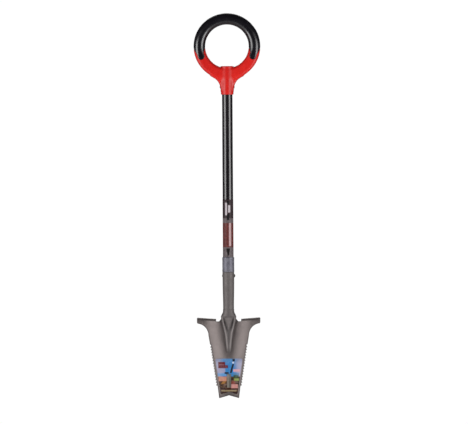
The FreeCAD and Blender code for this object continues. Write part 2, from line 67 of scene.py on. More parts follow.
GRIP_HIGH = box_mm("grip_overmould")[1]
HANDLE_LOW, HANDLE_HIGH = box_mm("handle_body")
SLEEVE_LOW, SLEEVE_HIGH = box_mm("shaft_sleeve")
CORE_LOW, CORE_HIGH = box_mm("shaft_core_tube")
COLLAR_LOW, COLLAR_HIGH = box_mm("collar")
WRAP_LOW, WRAP_HIGH = box_mm("shaft_label")
NECK_LOW, NECK_HIGH = box_mm("neck_socket")
BLADE_HIGH = box_mm("blade")[1]
HANDLE_RIVET_Z = middle_height("handle_rivet")
NECK_RIVET_Z = middle_height("neck_rivet")
RIVET_HOLE_RADIUS = 3

RING_MINOR = GRIP_HIGH[1]
RING_MAJOR = GRIP_HIGH[0] - RING_MINOR
RING_Z = GRIP_HIGH[2] - RING_MAJOR - RING_MINOR
RING_CORE_RADIUS = 11
ARM_ANGLE, ARM_DEPTH_LOSS, ARM_CORNER_LOSS = math.radians(38), 2.2, 7.5
SHAFT_RADIUS = SLEEVE_HIGH[0]
SOCKET_RADIUS = HANDLE_HIGH[1]
SOCKET_FOOT = HANDLE_LOW[2]
SOCKET_CROWN = 974.3
SOCKET_BORE_TOP = SLEEVE_HIGH[2]
GRIP_START = math.radians(1.5)
GRIP_FUNNEL_END = math.radians(15)
GRIP_TONGUE_END = math.radians(28)
GRIP_TONGUE_RADIUS = 9.6
GRIP_OVERSIZE, GRIP_SEAM_BLEND, GRIP_EDGE_ROUND, GRIP_BOX_DROP = 2, 2, 1, 60
FIT, BED_OVERLAP = 0.05, 0.3
WEB_SWEEP_RADIUS = 53
WEB_HALF_DEPTH, WEB_TUCK, WEB_RING_OVERLAP, WEB_FOOT = 10.5, 0.4, 6, 2
WEB_ROUND, SOCKET_ROUND, SEAM_ROUND, BORE_ROUND = 7, 2.4, 0.9, 0.8
WEB_BLEND, SOCKET_BLEND = 9, 4.5

NECK_TOP_RADIUS = NECK_HIGH[1]
NECK_MIDDLE, NECK_MIDDLE_RADIUS = 317, 16.8
NECK_WAIST, NECK_WAIST_RADIUS = 279, 15.95
NECK_WALL = 2
FLARE_TOP, FLARE_EAR, FLARE_EAR_HALF_WIDTH = 256, 240, 21.9
FLARE_SLOPE, FLARE_ROUND = 18, 4
TONGUE_TOP, TONGUE_TOP_HALF_WIDTH = 231, 18.9
TONGUE_TIP, REAR_TONGUE_TIP, REAR_TIP_HALF_WIDTH = NECK_LOW[2], 184, 3
TUBE_END, TUBE_END_DEPTH, REAR_PROUD = 193, 3, 0.4
RELIEF_STEP, STEEPEST, EAR_INSET = 0.3, 3, 0.3
NECK_BLEND, TONGUE_BLEND, NECK_TOP_ROUND, NECK_BORE_ROUND = 2, 2.5, 1.2, 0.6

# Up the front tongue: how far out its lips stand, how wide and high they are, and the floor between them.
RIDGE_AT = (TONGUE_TIP, 150, 170, 190, 210, 236, 246)
RIDGE_X = (3.4, 4.4, 6.4, 8.8, 13.4, 19, 20.5)
LIP_WIDTH_AT, LIP_HALF_WIDTH = (TONGUE_TIP, 152), (1.8, 4.6)
LIP_AT = (TONGUE_TIP, 142, 165, 205, 228, 238, 246)
LIP_RISE = (0.8, 2.6, 4.4, 5.6, 7, 10.5, 14)
FLOOR_AT, FLOOR_SHARE = (TONGUE_TIP, 160, 225, 238, 246), (0.7, 0.5, 0.45, 0.8, 1)

SHEET = 2.8
PAN_BACK, PAN_RISE, PAN_RAMP = 4, 12.5, 62
PAN_FLAT_TOP, PAN_FLAT_FULL_Z, PAN_FLAT_GONE_Z = 16, 205, 120
WING_HALF_WIDTH = BLADE_HIGH[0]
WING_ARC = (94.5, 184.5, 35)
SHOULDER = (55, 158)
TIP_HALF_WIDTH, TIP_RISE = 29.1, 8.2
TEETH, TOOTH_PITCH, TOOTH_TOP, TOOTH_RAMP, TOOTH_DEPTH = 15, 7.95, 156, 6.9, 4.4
TOOTH_TIP_LOW, TOOTH_TIP_HIGH = (38.1, 37.2), (54.7, 148.7)
TREAD_INNER, TREAD_INNER_TOP, TREAD_OUTER_TOP = 36.8, 233, 237.2
TREAD_BEND, TREAD_REAR, TREAD_PLAN_CORNER, TREAD_CORNER = 10, BLADE_HIGH[1], 7.5, 3.5
NOTCH_INNER, NOTCH_BOTTOM, BLADE_CENTRE_TOP, BLADE_CENTRE_HALF_WIDTH = 27.5, 225.5, 238, 18
EDGE_BEVEL_WIDTH, EDGE_BEVEL_DEPTH, EDGE_BEVEL_TOP, EDGE_BEVEL_FADE = 2.4, 1.1, 222, 8
TIP_BACK, TIP_GRIND_HEIGHT = 1.9, 7
SHEET_ROUND, BEVEL_ROUND = 0.8, 0.5
TREAD_TUCK, FOLD_OVERLAP, SLOPE_STEP, FAR = 4, 0.4, 0.5, 1e3


# ------ small maths

def unit(t):
    return np.clip(t, 0, 1)


def smoothstep(t):
    t = unit(t)
    return t * t * (3 - 2 * t)


def bell(distance, width):
    return np.exp(-(distance / width) ** 2)


def soft_max(a, b, k):
    """The larger of two fields, rounded over a width of about k: a soft intersection."""
    h = np.maximum(k - np.abs(a - b), 0) / k
    return np.maximum(a, b) + h * h * k / 4


def soft_min(a, b, k):
    """The smaller of two fields, rounded over a width of about k: a soft union."""
    return -soft_max(-a, -b, k)


def rounded_box_2d(u, v, half_u, half_v, corner):
    """Signed distance to a rectangle about the origin with round corners."""
    qu, qv = np.abs(u) - (half_u - corner), np.abs(v) - (half_v - corner)
    outside = np.hypot(np.maximum(qu, 0), np.maximum(qv, 0))
    return outside + np.minimum(np.maximum(qu, qv), 0) - corner


def polygon_distance(x, z, corners):
    """Signed distance in the front view to a closed polygon, negative inside."""
    best = np.full(x.shape, 1e9)
    crossings = np.zeros(x.shape, bool)
    for (ax, az), (bx, bz) in zip(corners, corners[1:] + corners[:1]):
        ex, ez = bx - ax, bz - az
        wx, wz = x - ax, z - az
        t = unit((wx * ex + wz * ez) / (ex * ex + ez * ez))
        best = np.minimum(best, (wx - ex * t) ** 2 + (wz - ez * t) ** 2)
        if ez != 0:
            spans = (az > z) != (bz > z)
            crossings ^= spans & (x < ax + ex * (z - az) / ez)
    return np.where(crossings, -1, 1) * np.sqrt(best)


# ------ meshing

GRADIENT_STEP = 0.05
NORMAL_STEP = 0.3
SETTLE_ROUNDS = 2
RELAX_ROUNDS = 2


def new_object(name, data):
    thing = bpy.data.objects.new(name, data)
    bpy.context.scene.collection.objects.link(thing)
    return thing


def new_piece(name, vertices_mm, faces):
    mesh = bpy.data.meshes.new(name)
    mesh.from_pydata((np.asarray(vertices_mm) * MM).tolist(), [], faces)
    mesh.validate()
    mesh.update()
    mesh.shade_smooth()
    return new_object(name, mesh)


def field_gradient(field, points, step):
    gradient = np.empty_like(points)
    for axis in range(3):
        shift = np.zeros(3)
        shift[axis] = step
        gradient[:, axis] = (field(points + shift) - field(points - shift)) / (2 * step)
    return gradient


def settle(field, points, reach):
    """Moves points onto the field's zero level along its gradient, by no more than reach a round."""
    for _ in range(SETTLE_ROUNDS):
        value = field(points)
        gradient = field_gradient(field, points, GRADIENT_STEP)
        steep = np.maximum((gradient ** 2).sum(1), 0.05)
        step = gradient * (value / steep)[:, None]
        length = np.linalg.norm(step, axis=1)
        step *= np.minimum(1, reach / np.maximum(length, 1e-9))[:, None]
        points = points - step
    return points


def edge_crossings(value):
    """For every cell of a grid, the summed places (in cells) where its edges cross zero, and how many do."""
    counts = np.array(value.shape) - 1
    total = np.zeros((*counts, 3))
    number = np.zeros(counts)
    ends = [slice(0, -1), slice(1, None)]
    for axis in range(3):
        first, second = [a for a in range(3) if a != axis]
        for i, j in ((0, 0), (0, 1), (1, 0), (1, 1)):
            pick = [None] * 3
            pick[axis], pick[first], pick[second] = ends[0], ends[i], ends[j]
            a = value[tuple(pick)]
            pick[axis] = ends[1]
            b = value[tuple(pick)]
            crosses = (a < 0) != (b < 0)
            number += crosses
            total[..., axis] += np.where(crosses, a / np.where(crosses, a - b, 1), 0)
            total[..., first] += crosses * i
            total[..., second] += crosses * j
    return total, number


def sample_field(field, axes):
    """The field's value at every corner of a grid, a level at a time."""
    value = np.empty([len(places) for places in axes])
    for k, z in enumerate(axes[2]):
        x, y = np.meshgrid(axes[0], axes[1], indexing="ij")
        points = np.stack([x.ravel(), y.ravel(), np.full(x.size, z)], 1)
        value[:, :, k] = field(points).reshape(x.shape)
    return value


def net_faces(inside, index):
    """An outward quad for every grid edge that the surface crosses, joining the four cells round it."""
    faces = []
    for axis in range(3):
        b, c = (axis + 1) % 3, (axis + 2) % 3
        near = [slice(1, -1)] * 3
        near[axis] = slice(0, -1)
        far = list(near)
        far[axis] = slice(1, None)
        starts, ends = inside[tuple(near)], inside[tuple(far)]
        offset = np.ones(3, int)
        offset[axis] = 0
        at = np.argwhere(starts != ends) + offset
        ring = []
        for db, dc in ((-1, -1), (0, -1), (0, 0), (-1, 0)):
            cell_at = at.copy()
            cell_at[:, b] += db
            cell_at[:, c] += dc
            ring.append(index[tuple(cell_at.T)])
        quads = np.stack(ring, 1)
        leaving = starts[starts != ends]
        quads[~leaving] = quads[~leaving][:, ::-1]
        faces.append(quads)
    return np.concatenate(faces)


def evened_out(field, points, faces, cell):
    """Draws every point halfway to the middle of its neighbours and settles it again."""
    edges = np.concatenate([faces[:, [0, 1]], faces[:, [1, 2]], faces[:, [2, 3]], faces[:, [3, 0]]])
    for _ in range(RELAX_ROUNDS):
        sums = np.zeros_like(points)
        count = np.zeros(len(points))
        np.add.at(sums, edges[:, 0], points[edges[:, 1]])
        np.add.at(count, edges[:, 0], 1)
        points = settle(field, 0.5 * points + 0.5 * sums / count[:, None], cell)
    return points


def surface_net(name, field, low, high, cell):
    """A closed quad mesh on the zero level of a field, with normals taken from the field itself."""
    low, high = np.array(low, float), np.array(high, float)
    counts = np.ceil((high - low) / cell).astype(int) + 1
    value = sample_field(field, [low[a] + cell * np.arange(counts[a]) for a in range(3)])
    total, number = edge_crossings(value)
    active = number > 0
    index = np.full(active.shape, -1)
    index[active] = np.arange(active.sum())
    points = low + cell * (np.argwhere(active) + total[active] / number[active][:, None])
    faces = net_faces(value < 0, index)
    points = evened_out(field, settle(field, points, cell), faces, cell)
    piece = new_piece(name, points, faces.tolist())
    normals = field_gradient(field, points, NORMAL_STEP)
    normals /= np.maximum(np.linalg.norm(normals, axis=1), 1e-6)[:, None]
    piece.data.normals_split_custom_set_from_vertices(normals.tolist())
    return piece


def band_faces(links, segments):
    """Quads between pairs of rings of points, given by the rings' numbers."""
    faces = []
    for i, j in links:
        for s in range(segments):
            t = (s + 1) % segments
            faces.append((i * segments + s, i * segments + t, j * segments + t, j * segments + s))
    return faces


def lathe(name, profile, segments, wobble=None):
    """A closed ring turned about the shaft's axis from (radius, height) corners given counter-clockwise."""
    rings = len(profile)
    angles = 2 * math.pi * np.arange(segments) / segments
    vertices = []
    for radius, height in profile:
        r = radius + (wobble(angles, height) if wobble and radius > SHAFT_RADIUS - 1 else 0)
        vertices.append(np.stack([r * np.cos(angles), r * np.sin(angles), np.full(segments, height)], 1))
    faces = band_faces([(i, (i + 1) % rings) for i in range(rings)], segments)
    return new_piece(name, np.concatenate(vertices), faces)


def rounded_profile(corners, steps=5):
    """A closed lathe profile in which each (radius, height, round) corner is turned as a small arc."""
    points = []
    for i, (r, z, size) in enumerate(corners):
        here = np.array([r, z])
        if size == 0:
            points.append((r, z))
            continue
        before = np.array(corners[i - 1][:2]) - here
        after = np.array(corners[(i + 1) % len(corners)][:2]) - here
        start = here + before / np.linalg.norm(before) * size
        end = here + after / np.linalg.norm(after) * size
        for s in range(steps + 1):
            t = s / steps
            points.append(tuple((1 - t) ** 2 * start + 2 * t * (1 - t) * here + t * t * end))
    return points


def subdivided(profile, longest=6):
    """The same profile with its long sides cut up, so that a wobble along them shows."""
    points = []
    for (r0, z0), (r1, z1) in zip(profile, profile[1:] + profile[:1]):
        pieces = max(1, int(math.hypot(r1 - r0, z1 - z0) / longest))
        points += [(r0 + (r1 - r0) * s / pieces, z0 + (z1 - z0) * s / pieces) for s in range(pieces)]
    return points


BEAD_STEP = 0.35
BEAD_SMOOTHING = 6
BEAD_SEGMENTS = 14


def even_path(path):
    """The path cut into even steps and smoothed, and how far along it each point lies."""
    path = np.array(path)
    along = np.concatenate([[0], np.cumsum(np.linalg.norm(np.diff(path, axis=0), axis=1))])
    even = np.linspace(0, along[-1], int(along[-1] / BEAD_STEP))
    points = np.stack([np.interp(even, along, path[:, a]) for a in range(3)], 1)
    for _ in range(BEAD_SMOOTHING):
        points[1:-1] = (points[:-2] + 2 * points[1:-1] + points[2:]) / 4
    return points, even


def bead_size(along, radius, ripple, pitch):
    """The bead's radius along its path: overlapping crests, and a taper at both ends."""
    taper = np.sqrt(np.clip(np.minimum(along, along[-1] - along) / (1.5 * radius), 0.04, 1))
    saw = (along / pitch) % 1
    return radius * taper * (1 + ripple * (saw ** 2 - 0.35))


def swept_bead(name, path, radius, ripple, pitch):
    """A closed weld bead along a path, with the crests that a weld pass leaves."""
    points, along = even_path(path)
    tangent = np.gradient(points, axis=0)
    tangent /= np.linalg.norm(tangent, axis=1)[:, None]
    outward = np.array([0, 1, 0]) - tangent * tangent[:, 1:2]
    outward /= np.linalg.norm(outward, axis=1)[:, None]
    side = np.cross(tangent, outward)
    size = bead_size(along, radius, ripple, pitch)
    count, segments = len(points), BEAD_SEGMENTS
    angles = 2 * math.pi * np.arange(segments) / segments
    ring = [points + size[:, None] * (math.cos(a) * outward + math.sin(a) * side) for a in angles]
    vertices = np.stack(ring, 1).reshape(-1, 3)
    faces = band_faces([(i, i + 1) for i in range(count - 1)], segments)
    faces.append(tuple(range(segments))[::-1])
    faces.append(tuple((count - 1) * segments + s for s in range(segments)))
    return new_piece(name, vertices, faces)


# ------ handle

def ring_coordinates(p):
    """Place on the ring: radius from its centre, depth, and how far below horizontal, either side alike."""
    radius = np.hypot(p[:, 0], p[:, 2] - RING_Z)
    below = np.arctan2(RING_Z - p[:, 2], np.abs(p[:, 0]))
    return radius, p[:, 1], below


def ring_field(p):
    """The handle's ring: round under the grip, flatter and squarer along the exposed arms."""
    radius, depth, below = ring_coordinates(p)
    flatness = smoothstep((below - GRIP_START) / ARM_ANGLE)
    half_depth = RING_MINOR - ARM_DEPTH_LOSS * flatness
    corner = RING_MINOR - ARM_CORNER_LOSS * flatness
    return rounded_box_2d(radius - RING_MAJOR, depth, RING_MINOR, half_depth, np.minimum(corner, half_depth))


def grip_region(p):
    """Negative where the soft grip lies: above the split lines, then a funnel ending in a round tongue."""
    radius, _, below = ring_coordinates(p)
    off_line = np.abs(radius - RING_MAJOR)
    split = (below - GRIP_START) * radius
    share = unit(below / GRIP_FUNNEL_END)
    half_width = RING_MINOR + GRIP_OVERSIZE + (GRIP_TONGUE_RADIUS - RING_MINOR - GRIP_OVERSIZE) * share
    end = GRIP_TONGUE_END - GRIP_TONGUE_RADIUS / RING_MAJOR
    along = np.maximum(below - end, 0) * RING_MAJOR
    tongue = np.hypot(off_line, along) - half_width
    return soft_min(split, tongue, GRIP_SEAM_BLEND)


def web_outline(p):
    """Front-view distance to the web, whose sides sweep from the socket out into the ring."""
    centre_x = SOCKET_RADIUS - WEB_TUCK + WEB_SWEEP_RADIUS
    reach = RING_MAJOR + RING_MINOR + WEB_SWEEP_RADIUS
    centre_z = RING_Z - math.sqrt(reach ** 2 - centre_x ** 2)
    side = WEB_SWEEP_RADIUS - np.hypot(np.abs(p[:, 0]) - centre_x, p[:, 2] - centre_z)
    ring = np.hypot(p[:, 0], p[:, 2] - RING_Z)
    upper = RING_MAJOR - RING_MINOR + WEB_RING_OVERLAP - ring
    spread = np.abs(p[:, 0]) - centre_x * (RING_MAJOR + RING_MINOR) / reach
    return np.maximum.reduce([side, centre_z + WEB_FOOT - p[:, 2], upper, spread])


def handle_field(p):
    """The red body: ring, arms, web and socket, less the grip's bed, the bore and the rivet's hole."""
    radius, depth, _ = ring_coordinates(p)
    ring = ring_field(p)
    web = soft_max(web_outline(p), np.abs(depth) - WEB_HALF_DEPTH, WEB_ROUND)
    axis = np.hypot(p[:, 0], depth)
    ends = np.maximum(SOCKET_FOOT - p[:, 2], p[:, 2] - SOCKET_CROWN)
    socket = soft_max(axis - SOCKET_RADIUS, ends, SOCKET_ROUND)
    body = soft_min(soft_min(ring, web, WEB_BLEND), socket, SOCKET_BLEND)
    core = np.hypot(radius - RING_MAJOR, depth) - RING_CORE_RADIUS
    under_grip = np.maximum(grip_region(p), BED_OVERLAP - core)
    body = soft_max(body, -under_grip, SEAM_ROUND)
    bore = np.maximum(axis - SHAFT_RADIUS - FIT, p[:, 2] - SOCKET_BORE_TOP)
    body = soft_max(body, -bore, BORE_ROUND)
    rivet = np.hypot(depth, p[:, 2] - HANDLE_RIVET_Z) - RIVET_HOLE_RADIUS
    return np.maximum(body, -rivet)


def grip_field(p):
    """The soft grip: a skin over the ring's core."""
    radius, depth, _ = ring_coordinates(p)
    core = np.hypot(radius - RING_MAJOR, depth) - RING_CORE_RADIUS
    skin = soft_max(ring_field(p), grip_region(p), GRIP_EDGE_ROUND)
    return np.maximum(skin, FIT - core)


MARGIN = 2
HANDLE_CELL, BLADE_CELL, NECK_CELL = 1.15, 0.9, 0.85


def make_handle():
    reach = RING_MAJOR + RING_MINOR + MARGIN
    depth = SOCKET_RADIUS + MARGIN
    high = (reach, depth, RING_Z + RING_MAJOR + RING_MINOR + MARGIN)
    low = (-reach, -depth, SOCKET_FOOT - MARGIN)
    body = surface_net("handle_shell", handle_field, low, high, HANDLE_CELL)
    low = (-reach, -depth, RING_Z - GRIP_BOX_DROP)
    grip = surface_net("soft_grip", grip_field, low, high, HANDLE_CELL)
    dress(body, red_plastic(), "handle_body")
    dress(grip, grip_rubber(), "grip_overmould")


# ------ blade and neck

def pan_y(x, z):
    """How far back the blade's front face lies."""
    flat = PAN_FLAT_TOP * unit((z - PAN_FLAT_GONE_Z) / (PAN_FLAT_FULL_Z - PAN_FLAT_GONE_Z))
    return PAN_BACK - PAN_RISE * smoothstep((np.abs(x) - flat) / PAN_RAMP)


def tread_top(x):
    share = np.clip((np.abs(x) - TREAD_INNER) / (WING_HALF_WIDTH - TREAD_INNER), 0, 1)
    return TREAD_INNER_TOP + (TREAD_OUTER_TOP - TREAD_INNER_TOP) * share


def arc(centre_x, centre_z, radius, start_deg, end_deg, steps):
    angles = np.radians(np.linspace(start_deg, end_deg, steps))
    return [(centre_x + radius * math.cos(a), centre_z + radius * math.sin(a)) for a in angles]


def tooth_outline():
    """The right side's saw teeth from the top down."""
    (x_low, z_low), (x_high, z_high) = TOOTH_TIP_LOW, TOOTH_TIP_HIGH
    lean = (x_high - x_low) / (z_high - z_low)
    points = []
    for i in range(TEETH):
        top = TOOTH_TOP - i * TOOTH_PITCH
        tip = top - TOOTH_RAMP
        points.append((x_low + (top - z_low) * lean - TOOTH_DEPTH, top))
        points.append((x_low + (tip - z_low) * lean, tip))
    end = TOOTH_TOP - TEETH * TOOTH_PITCH
    points.append((x_low + (end - z_low) * lean - TOOTH_DEPTH, end))
    return points


PAST_MIDDLE = 8


def blade_outline():
    """The right half of the blade in the front view, closed a little beyond the middle."""
    round_x = WING_HALF_WIDTH - TREAD_CORNER
    arc_x, arc_z, arc_r = WING_ARC
    wing = arc(arc_x, arc_z, arc_r, 180, 97.6, 18)
    low_corner = arc(round_x, arc_z + arc_r + TREAD_CORNER - 0.2, TREAD_CORNER, -78, 0, 5)
    high_corner = arc(round_x, TREAD_OUTER_TOP - TREAD_CORNER, TREAD_CORNER, 0, 85, 6)
    top = [(TREAD_INNER + 0.8, TREAD_INNER_TOP + 0.6), (TREAD_INNER, TREAD_INNER_TOP - 0.5),
           (TREAD_INNER, NOTCH_BOTTOM + 1), (TREAD_INNER - 1, NOTCH_BOTTOM), (NOTCH_INNER + 1, NOTCH_BOTTOM),
           (NOTCH_INNER, NOTCH_BOTTOM + 0.8), (BLADE_CENTRE_HALF_WIDTH, BLADE_CENTRE_TOP),
           (-PAST_MIDDLE, BLADE_CENTRE_TOP)]
    tip = [(-PAST_MIDDLE, TIP_RISE), (0, TIP_RISE), (TIP_HALF_WIDTH - 0.5, 0.1),
           (TIP_HALF_WIDTH + 0.1, 0.7)]
    return tip + tooth_outline()[::-1] + [SHOULDER] + wing + low_corner + high_corner + top


OUTLINE = blade_outline()


def folded_sheet(p):
    """The pressed sheet before trimming: the dished pan, and the treads folded to the rear at its top."""
    x, y, z = p.T
    front = pan_y(x, z)
    slope = np.abs(pan_y(x + SLOPE_STEP, z) - pan_y(x - SLOPE_STEP, z)) / (2 * SLOPE_STEP)
    flatten = 1 / np.sqrt(1 + slope ** 2)
    pan = np.abs(y - front - SHEET / 2) * flatten - SHEET / 2
    wing = np.abs(x) > TREAD_INNER - TREAD_TUCK
    top = tread_top(x)
    bend_z, bend_y = top - TREAD_BEND, front + TREAD_BEND
    stem = np.maximum(pan, np.where(wing, z - bend_z - FOLD_OVERLAP, -FAR))
    reach = np.hypot(y - bend_y, z - bend_z)
    bend = np.abs(reach - TREAD_BEND + SHEET / 2) - SHEET / 2
    bend = np.maximum.reduce([bend, bend_z - z, y - bend_y])
    flange = np.maximum(np.abs(z - top + SHEET / 2) - SHEET / 2, bend_y - FOLD_OVERLAP - y)
    fold = np.where(wing, np.minimum(bend, flange), FAR)
    return np.minimum(stem, fold)


def blade_field(p):
    """The folded sheet trimmed to its outline, its front edges bevelled and its tip ground at the back."""
    x, y, z = np.abs(p[:, 0]), p[:, 1], p[:, 2]
    outline = polygon_distance(x, z, OUTLINE)
    sheet = folded_sheet(p)
    bevel_depth = EDGE_BEVEL_DEPTH * unit((EDGE_BEVEL_TOP - z) / EDGE_BEVEL_FADE)
    front_bevel = pan_y(x, z) - y + bevel_depth * np.clip(1 + outline / EDGE_BEVEL_WIDTH, 0, 2)
    above_tip = z - TIP_RISE * (1 - x / TIP_HALF_WIDTH)
    grind = y - pan_y(x, z) - TIP_BACK - (SHEET - TIP_BACK) * above_tip / TIP_GRIND_HEIGHT
    plan = rounded_box_2d(x, y, WING_HALF_WIDTH + 0.5, TREAD_REAR, TREAD_PLAN_CORNER)
    shape = soft_max(sheet, outline, SHEET_ROUND)
    shape = soft_max(shape, front_bevel, BEVEL_ROUND)
    shape = soft_max(shape, grind, BEVEL_ROUND)
    return soft_max(shape, plan, SHEET_ROUND)


def neck_outer_radius(z):
    return np.interp(z, [NECK_WAIST, NECK_MIDDLE, NECK_HIGH[2]],
                     [NECK_WAIST_RADIUS, NECK_MIDDLE_RADIUS, NECK_TOP_RADIUS])


def flare_field(p, inset=0):
    """The short flare between tube and blade: an oval that widens to the ears."""
    x, y, z = p.T
    middle = (PAN_BACK + SHEET / 2) * smoothstep((FLARE_TOP - z) / (FLARE_TOP - TONGUE_TOP))
    half_width = NECK_WAIST_RADIUS - inset + (FLARE_EAR_HALF_WIDTH - NECK_WAIST_RADIUS) * smoothstep(
        (FLARE_TOP - z) / (FLARE_TOP - FLARE_EAR))
    height = NECK_WAIST_RADIUS - inset + np.where(y > middle, -middle, middle)
    level = np.hypot(x / half_width, (y - middle) / height) - 1
    return level * np.minimum(half_width, height)


def rear_tongue_field(p):
    """The short tongue at the back of the blade, flattening as it goes down."""
    x, y, z = p.T
    middle = PAN_BACK + SHEET / 2
    share = unit((z - REAR_TONGUE_TIP) / (TONGUE_TOP - REAR_TONGUE_TIP))
    half_width = REAR_TIP_HALF_WIDTH + (TONGUE_TOP_HALF_WIDTH - REAR_TIP_HALF_WIDTH) * share ** 0.7
    height = SHEET / 2 + REAR_PROUD + (NECK_WAIST_RADIUS - middle - SHEET / 2 - REAR_PROUD) * share ** 0.8
    level = np.hypot(x / half_width, (y - middle) / height) - 1
    ends = np.maximum(PAN_BACK + 1 - y, REAR_TONGUE_TIP - 1 - z)
    return np.maximum(level * np.minimum(half_width, height), ends)


def tongue_ridge_x(z):
    """Where the tongue's raised lips stand, either side of the middle."""
    return np.interp(z, RIDGE_AT, RIDGE_X)


def lip_half_width(z):
    return np.interp(z, LIP_WIDTH_AT, LIP_HALF_WIDTH)


def tongue_height(x, z):
    """How far the front tongue stands off the blade: two lips, a floor, and the tube's tapering end."""
    ridge_x = tongue_ridge_x(z)
    lip = np.interp(z, LIP_AT, LIP_RISE)
    flank = np.clip((np.abs(x) - ridge_x) / lip_half_width(z), -1, 1)
    outer = lip * np.sqrt(1 - np.maximum(flank, 0) ** 2)
    reach = np.minimum(lip_half_width(z), ridge_x)
    drop = (1 - np.interp(z, FLOOR_AT, FLOOR_SHARE)) * smoothstep((ridge_x - np.abs(x)) / reach)
    inner = lip * (1 - drop)
    lips = np.where(flank > 0, outer, inner)
    taper = np.clip((z - TUBE_END) / (FLARE_EAR - TUBE_END), 0, 1.2)
    across = unit(np.abs(x) / np.maximum(NECK_WAIST_RADIUS * taper, 0.1))
    depth = TUBE_END_DEPTH + (NECK_WAIST_RADIUS + PAN_BACK - TUBE_END_DEPTH) * np.minimum(taper, 1)
    tube = depth * (1 - across ** 2) ** (1.1 - 0.6 * np.minimum(taper, 1))
    return soft_max(lips, np.where(taper > 0, tube, 0), 2)


def front_tongue_field(p):
    """The front tongue as a raised relief on the blade."""
    x, y, z = p.T
    height = tongue_height(x, z)
    slope = (tongue_height(x + RELIEF_STEP, z) - tongue_height(x - RELIEF_STEP, z)) / (2 * RELIEF_STEP)
    relief = (pan_y(x, z) - y - height) / np.sqrt(1 + np.minimum(slope ** 2, STEEPEST ** 2))
    edge = np.abs(x) - np.minimum(tongue_ridge_x(z) + lip_half_width(z), FLARE_EAR_HALF_WIDTH - EAR_INSET)
    return np.maximum.reduce([relief, edge, y - PAN_BACK - 1, z - FLARE_EAR - 1, TONGUE_TIP - z])


def neck_field(p):
    """The neck: tapered tube, flare and tongues, less its bore, the sheet's slot and the rivet's hole."""
    x, y, z = p.T
    axis = np.hypot(x, y)
    tube = np.maximum(axis - neck_outer_radius(z), FLARE_EAR - z)
    flare_end = FLARE_EAR + 2 - FLARE_SLOPE * (1 - np.minimum(np.abs(y) / NECK_WAIST_RADIUS, 1)) - z
    flare = soft_max(np.maximum(flare_field(p), z - FLARE_TOP - 4), 0.7 * flare_end, FLARE_ROUND)
    body = soft_min(tube, flare, NECK_BLEND)
    body = soft_min(body, front_tongue_field(p), TONGUE_BLEND)
    body = soft_min(body, np.maximum(rear_tongue_field(p), z - FLARE_TOP + 8), NECK_BLEND)
    body = soft_max(body, z - NECK_HIGH[2], NECK_TOP_ROUND)
    bore = np.maximum(axis - neck_outer_radius(z) + NECK_WALL, FLARE_TOP - z)
    cavity = np.maximum.reduce([flare_field(p, NECK_WALL), z - FLARE_TOP - 1, FLARE_EAR - z])
    body = soft_max(body, -np.minimum(bore, cavity), NECK_BORE_ROUND)
    sheet = np.abs(y - pan_y(x, z) - SHEET / 2) - SHEET / 2
    body = np.maximum(body, -np.maximum(sheet, z - BLADE_CENTRE_TOP))
    rivet = np.hypot(y, z - NECK_RIVET_Z) - RIVET_HOLE_RADIUS
    return np.maximum(body, -rivet)


# ------ painted shade and highlight marks, and the darker tip, in mm

# Painted shade along the blade's cut edges, the darker tip, and painted shade on the treads.
RIM_WIDTH, TIP_DARK_HEIGHT, TIP_DARK_FADE, TREAD_SHADE = 3.2, 16, 12, 0.4
# Painted shade on the blade beside the tongue's lips, where the tongue blocks the side lamps.
TONGUE_SHADE_STRENGTH, TONGUE_SHADE_OFFSET, TONGUE_SHADE_WIDTH, TONGUE_SHADE_FOOT, TONGUE_SHADE_FADE = 0.55, 6, 6.5, 112, 30
# Painted highlight along the tongue's lips, and on the tube's front, which faces down, away from the lamps.
LIP_HIGHLIGHT_WIDTH, LIP_HIGHLIGHT_FOOT, LIP_HIGHLIGHT_FADE = 1.5, 138, 14
TUBE_HIGHLIGHT, TUBE_HIGHLIGHT_EDGE = 0.45, 4
# Painted shade in the hollows inside the lips, in the centre crease and on the lips' outer flanks.
VALLEY_INSET, VALLEY_WIDTH, VALLEY_FOOT, VALLEY_FADE = 5, 2.2, 194, 12
CREASE_SHADE, CREASE_WIDTH, CREASE_TOP, CREASE_FADE = 0.6, 1.8, 206, 14
FLANK_START, FLANK_WIDTH = 1.4, 2
FRONT_DEPTH, FRONT_TOP, FRONT_FADE = 1.5, 242, 10


def vertex_places(piece):
    """The x, y and z of every vertex, in millimetres."""
    places = np.empty(len(piece.data.vertices) * 3)
    piece.data.vertices.foreach_get("co", places)
    return places.reshape(-1, 3).T / MM


def store(piece, name, values):
    """Keeps one number per vertex for the piece's material to read."""
    piece.data.attributes.new(name, "FLOAT", "POINT").data.foreach_set("value", values.astype(np.float32))


def mark_blade(piece):
    """Stores where the blade is painted dark: painted shade along its cut edges and teeth, beside the tongue
    and on the up-facing treads, and darker towards the digging points.
    """
    x, _, z = vertex_places(piece)
    x = np.abs(x)
    # Painted shade along the cut edges and under the teeth.
    edge = unit(1 + polygon_distance(x, z, OUTLINE) / RIM_WIDTH)
    tip = unit((TIP_DARK_HEIGHT - z) / TIP_DARK_FADE)
    # Painted shade beside the tongue, where the raised tongue blocks the light from the far side.
    tongue_shade = TONGUE_SHADE_STRENGTH * bell(x - tongue_ridge_x(z) - TONGUE_SHADE_OFFSET, TONGUE_SHADE_WIDTH)
    tongue_shade *= smoothstep((z - TONGUE_SHADE_FOOT) / TONGUE_SHADE_FADE)
    # Painted shade on the treads, whose bends face up, away from the lamps.
    tread = TREAD_SHADE * smoothstep((z - EDGE_BEVEL_TOP) / EDGE_BEVEL_FADE) * (x > TREAD_INNER)
    # The dark mark holds painted shade, with the darker tip.
    store(piece, "rim", np.maximum.reduce([edge, tip, tongue_shade, tread]))


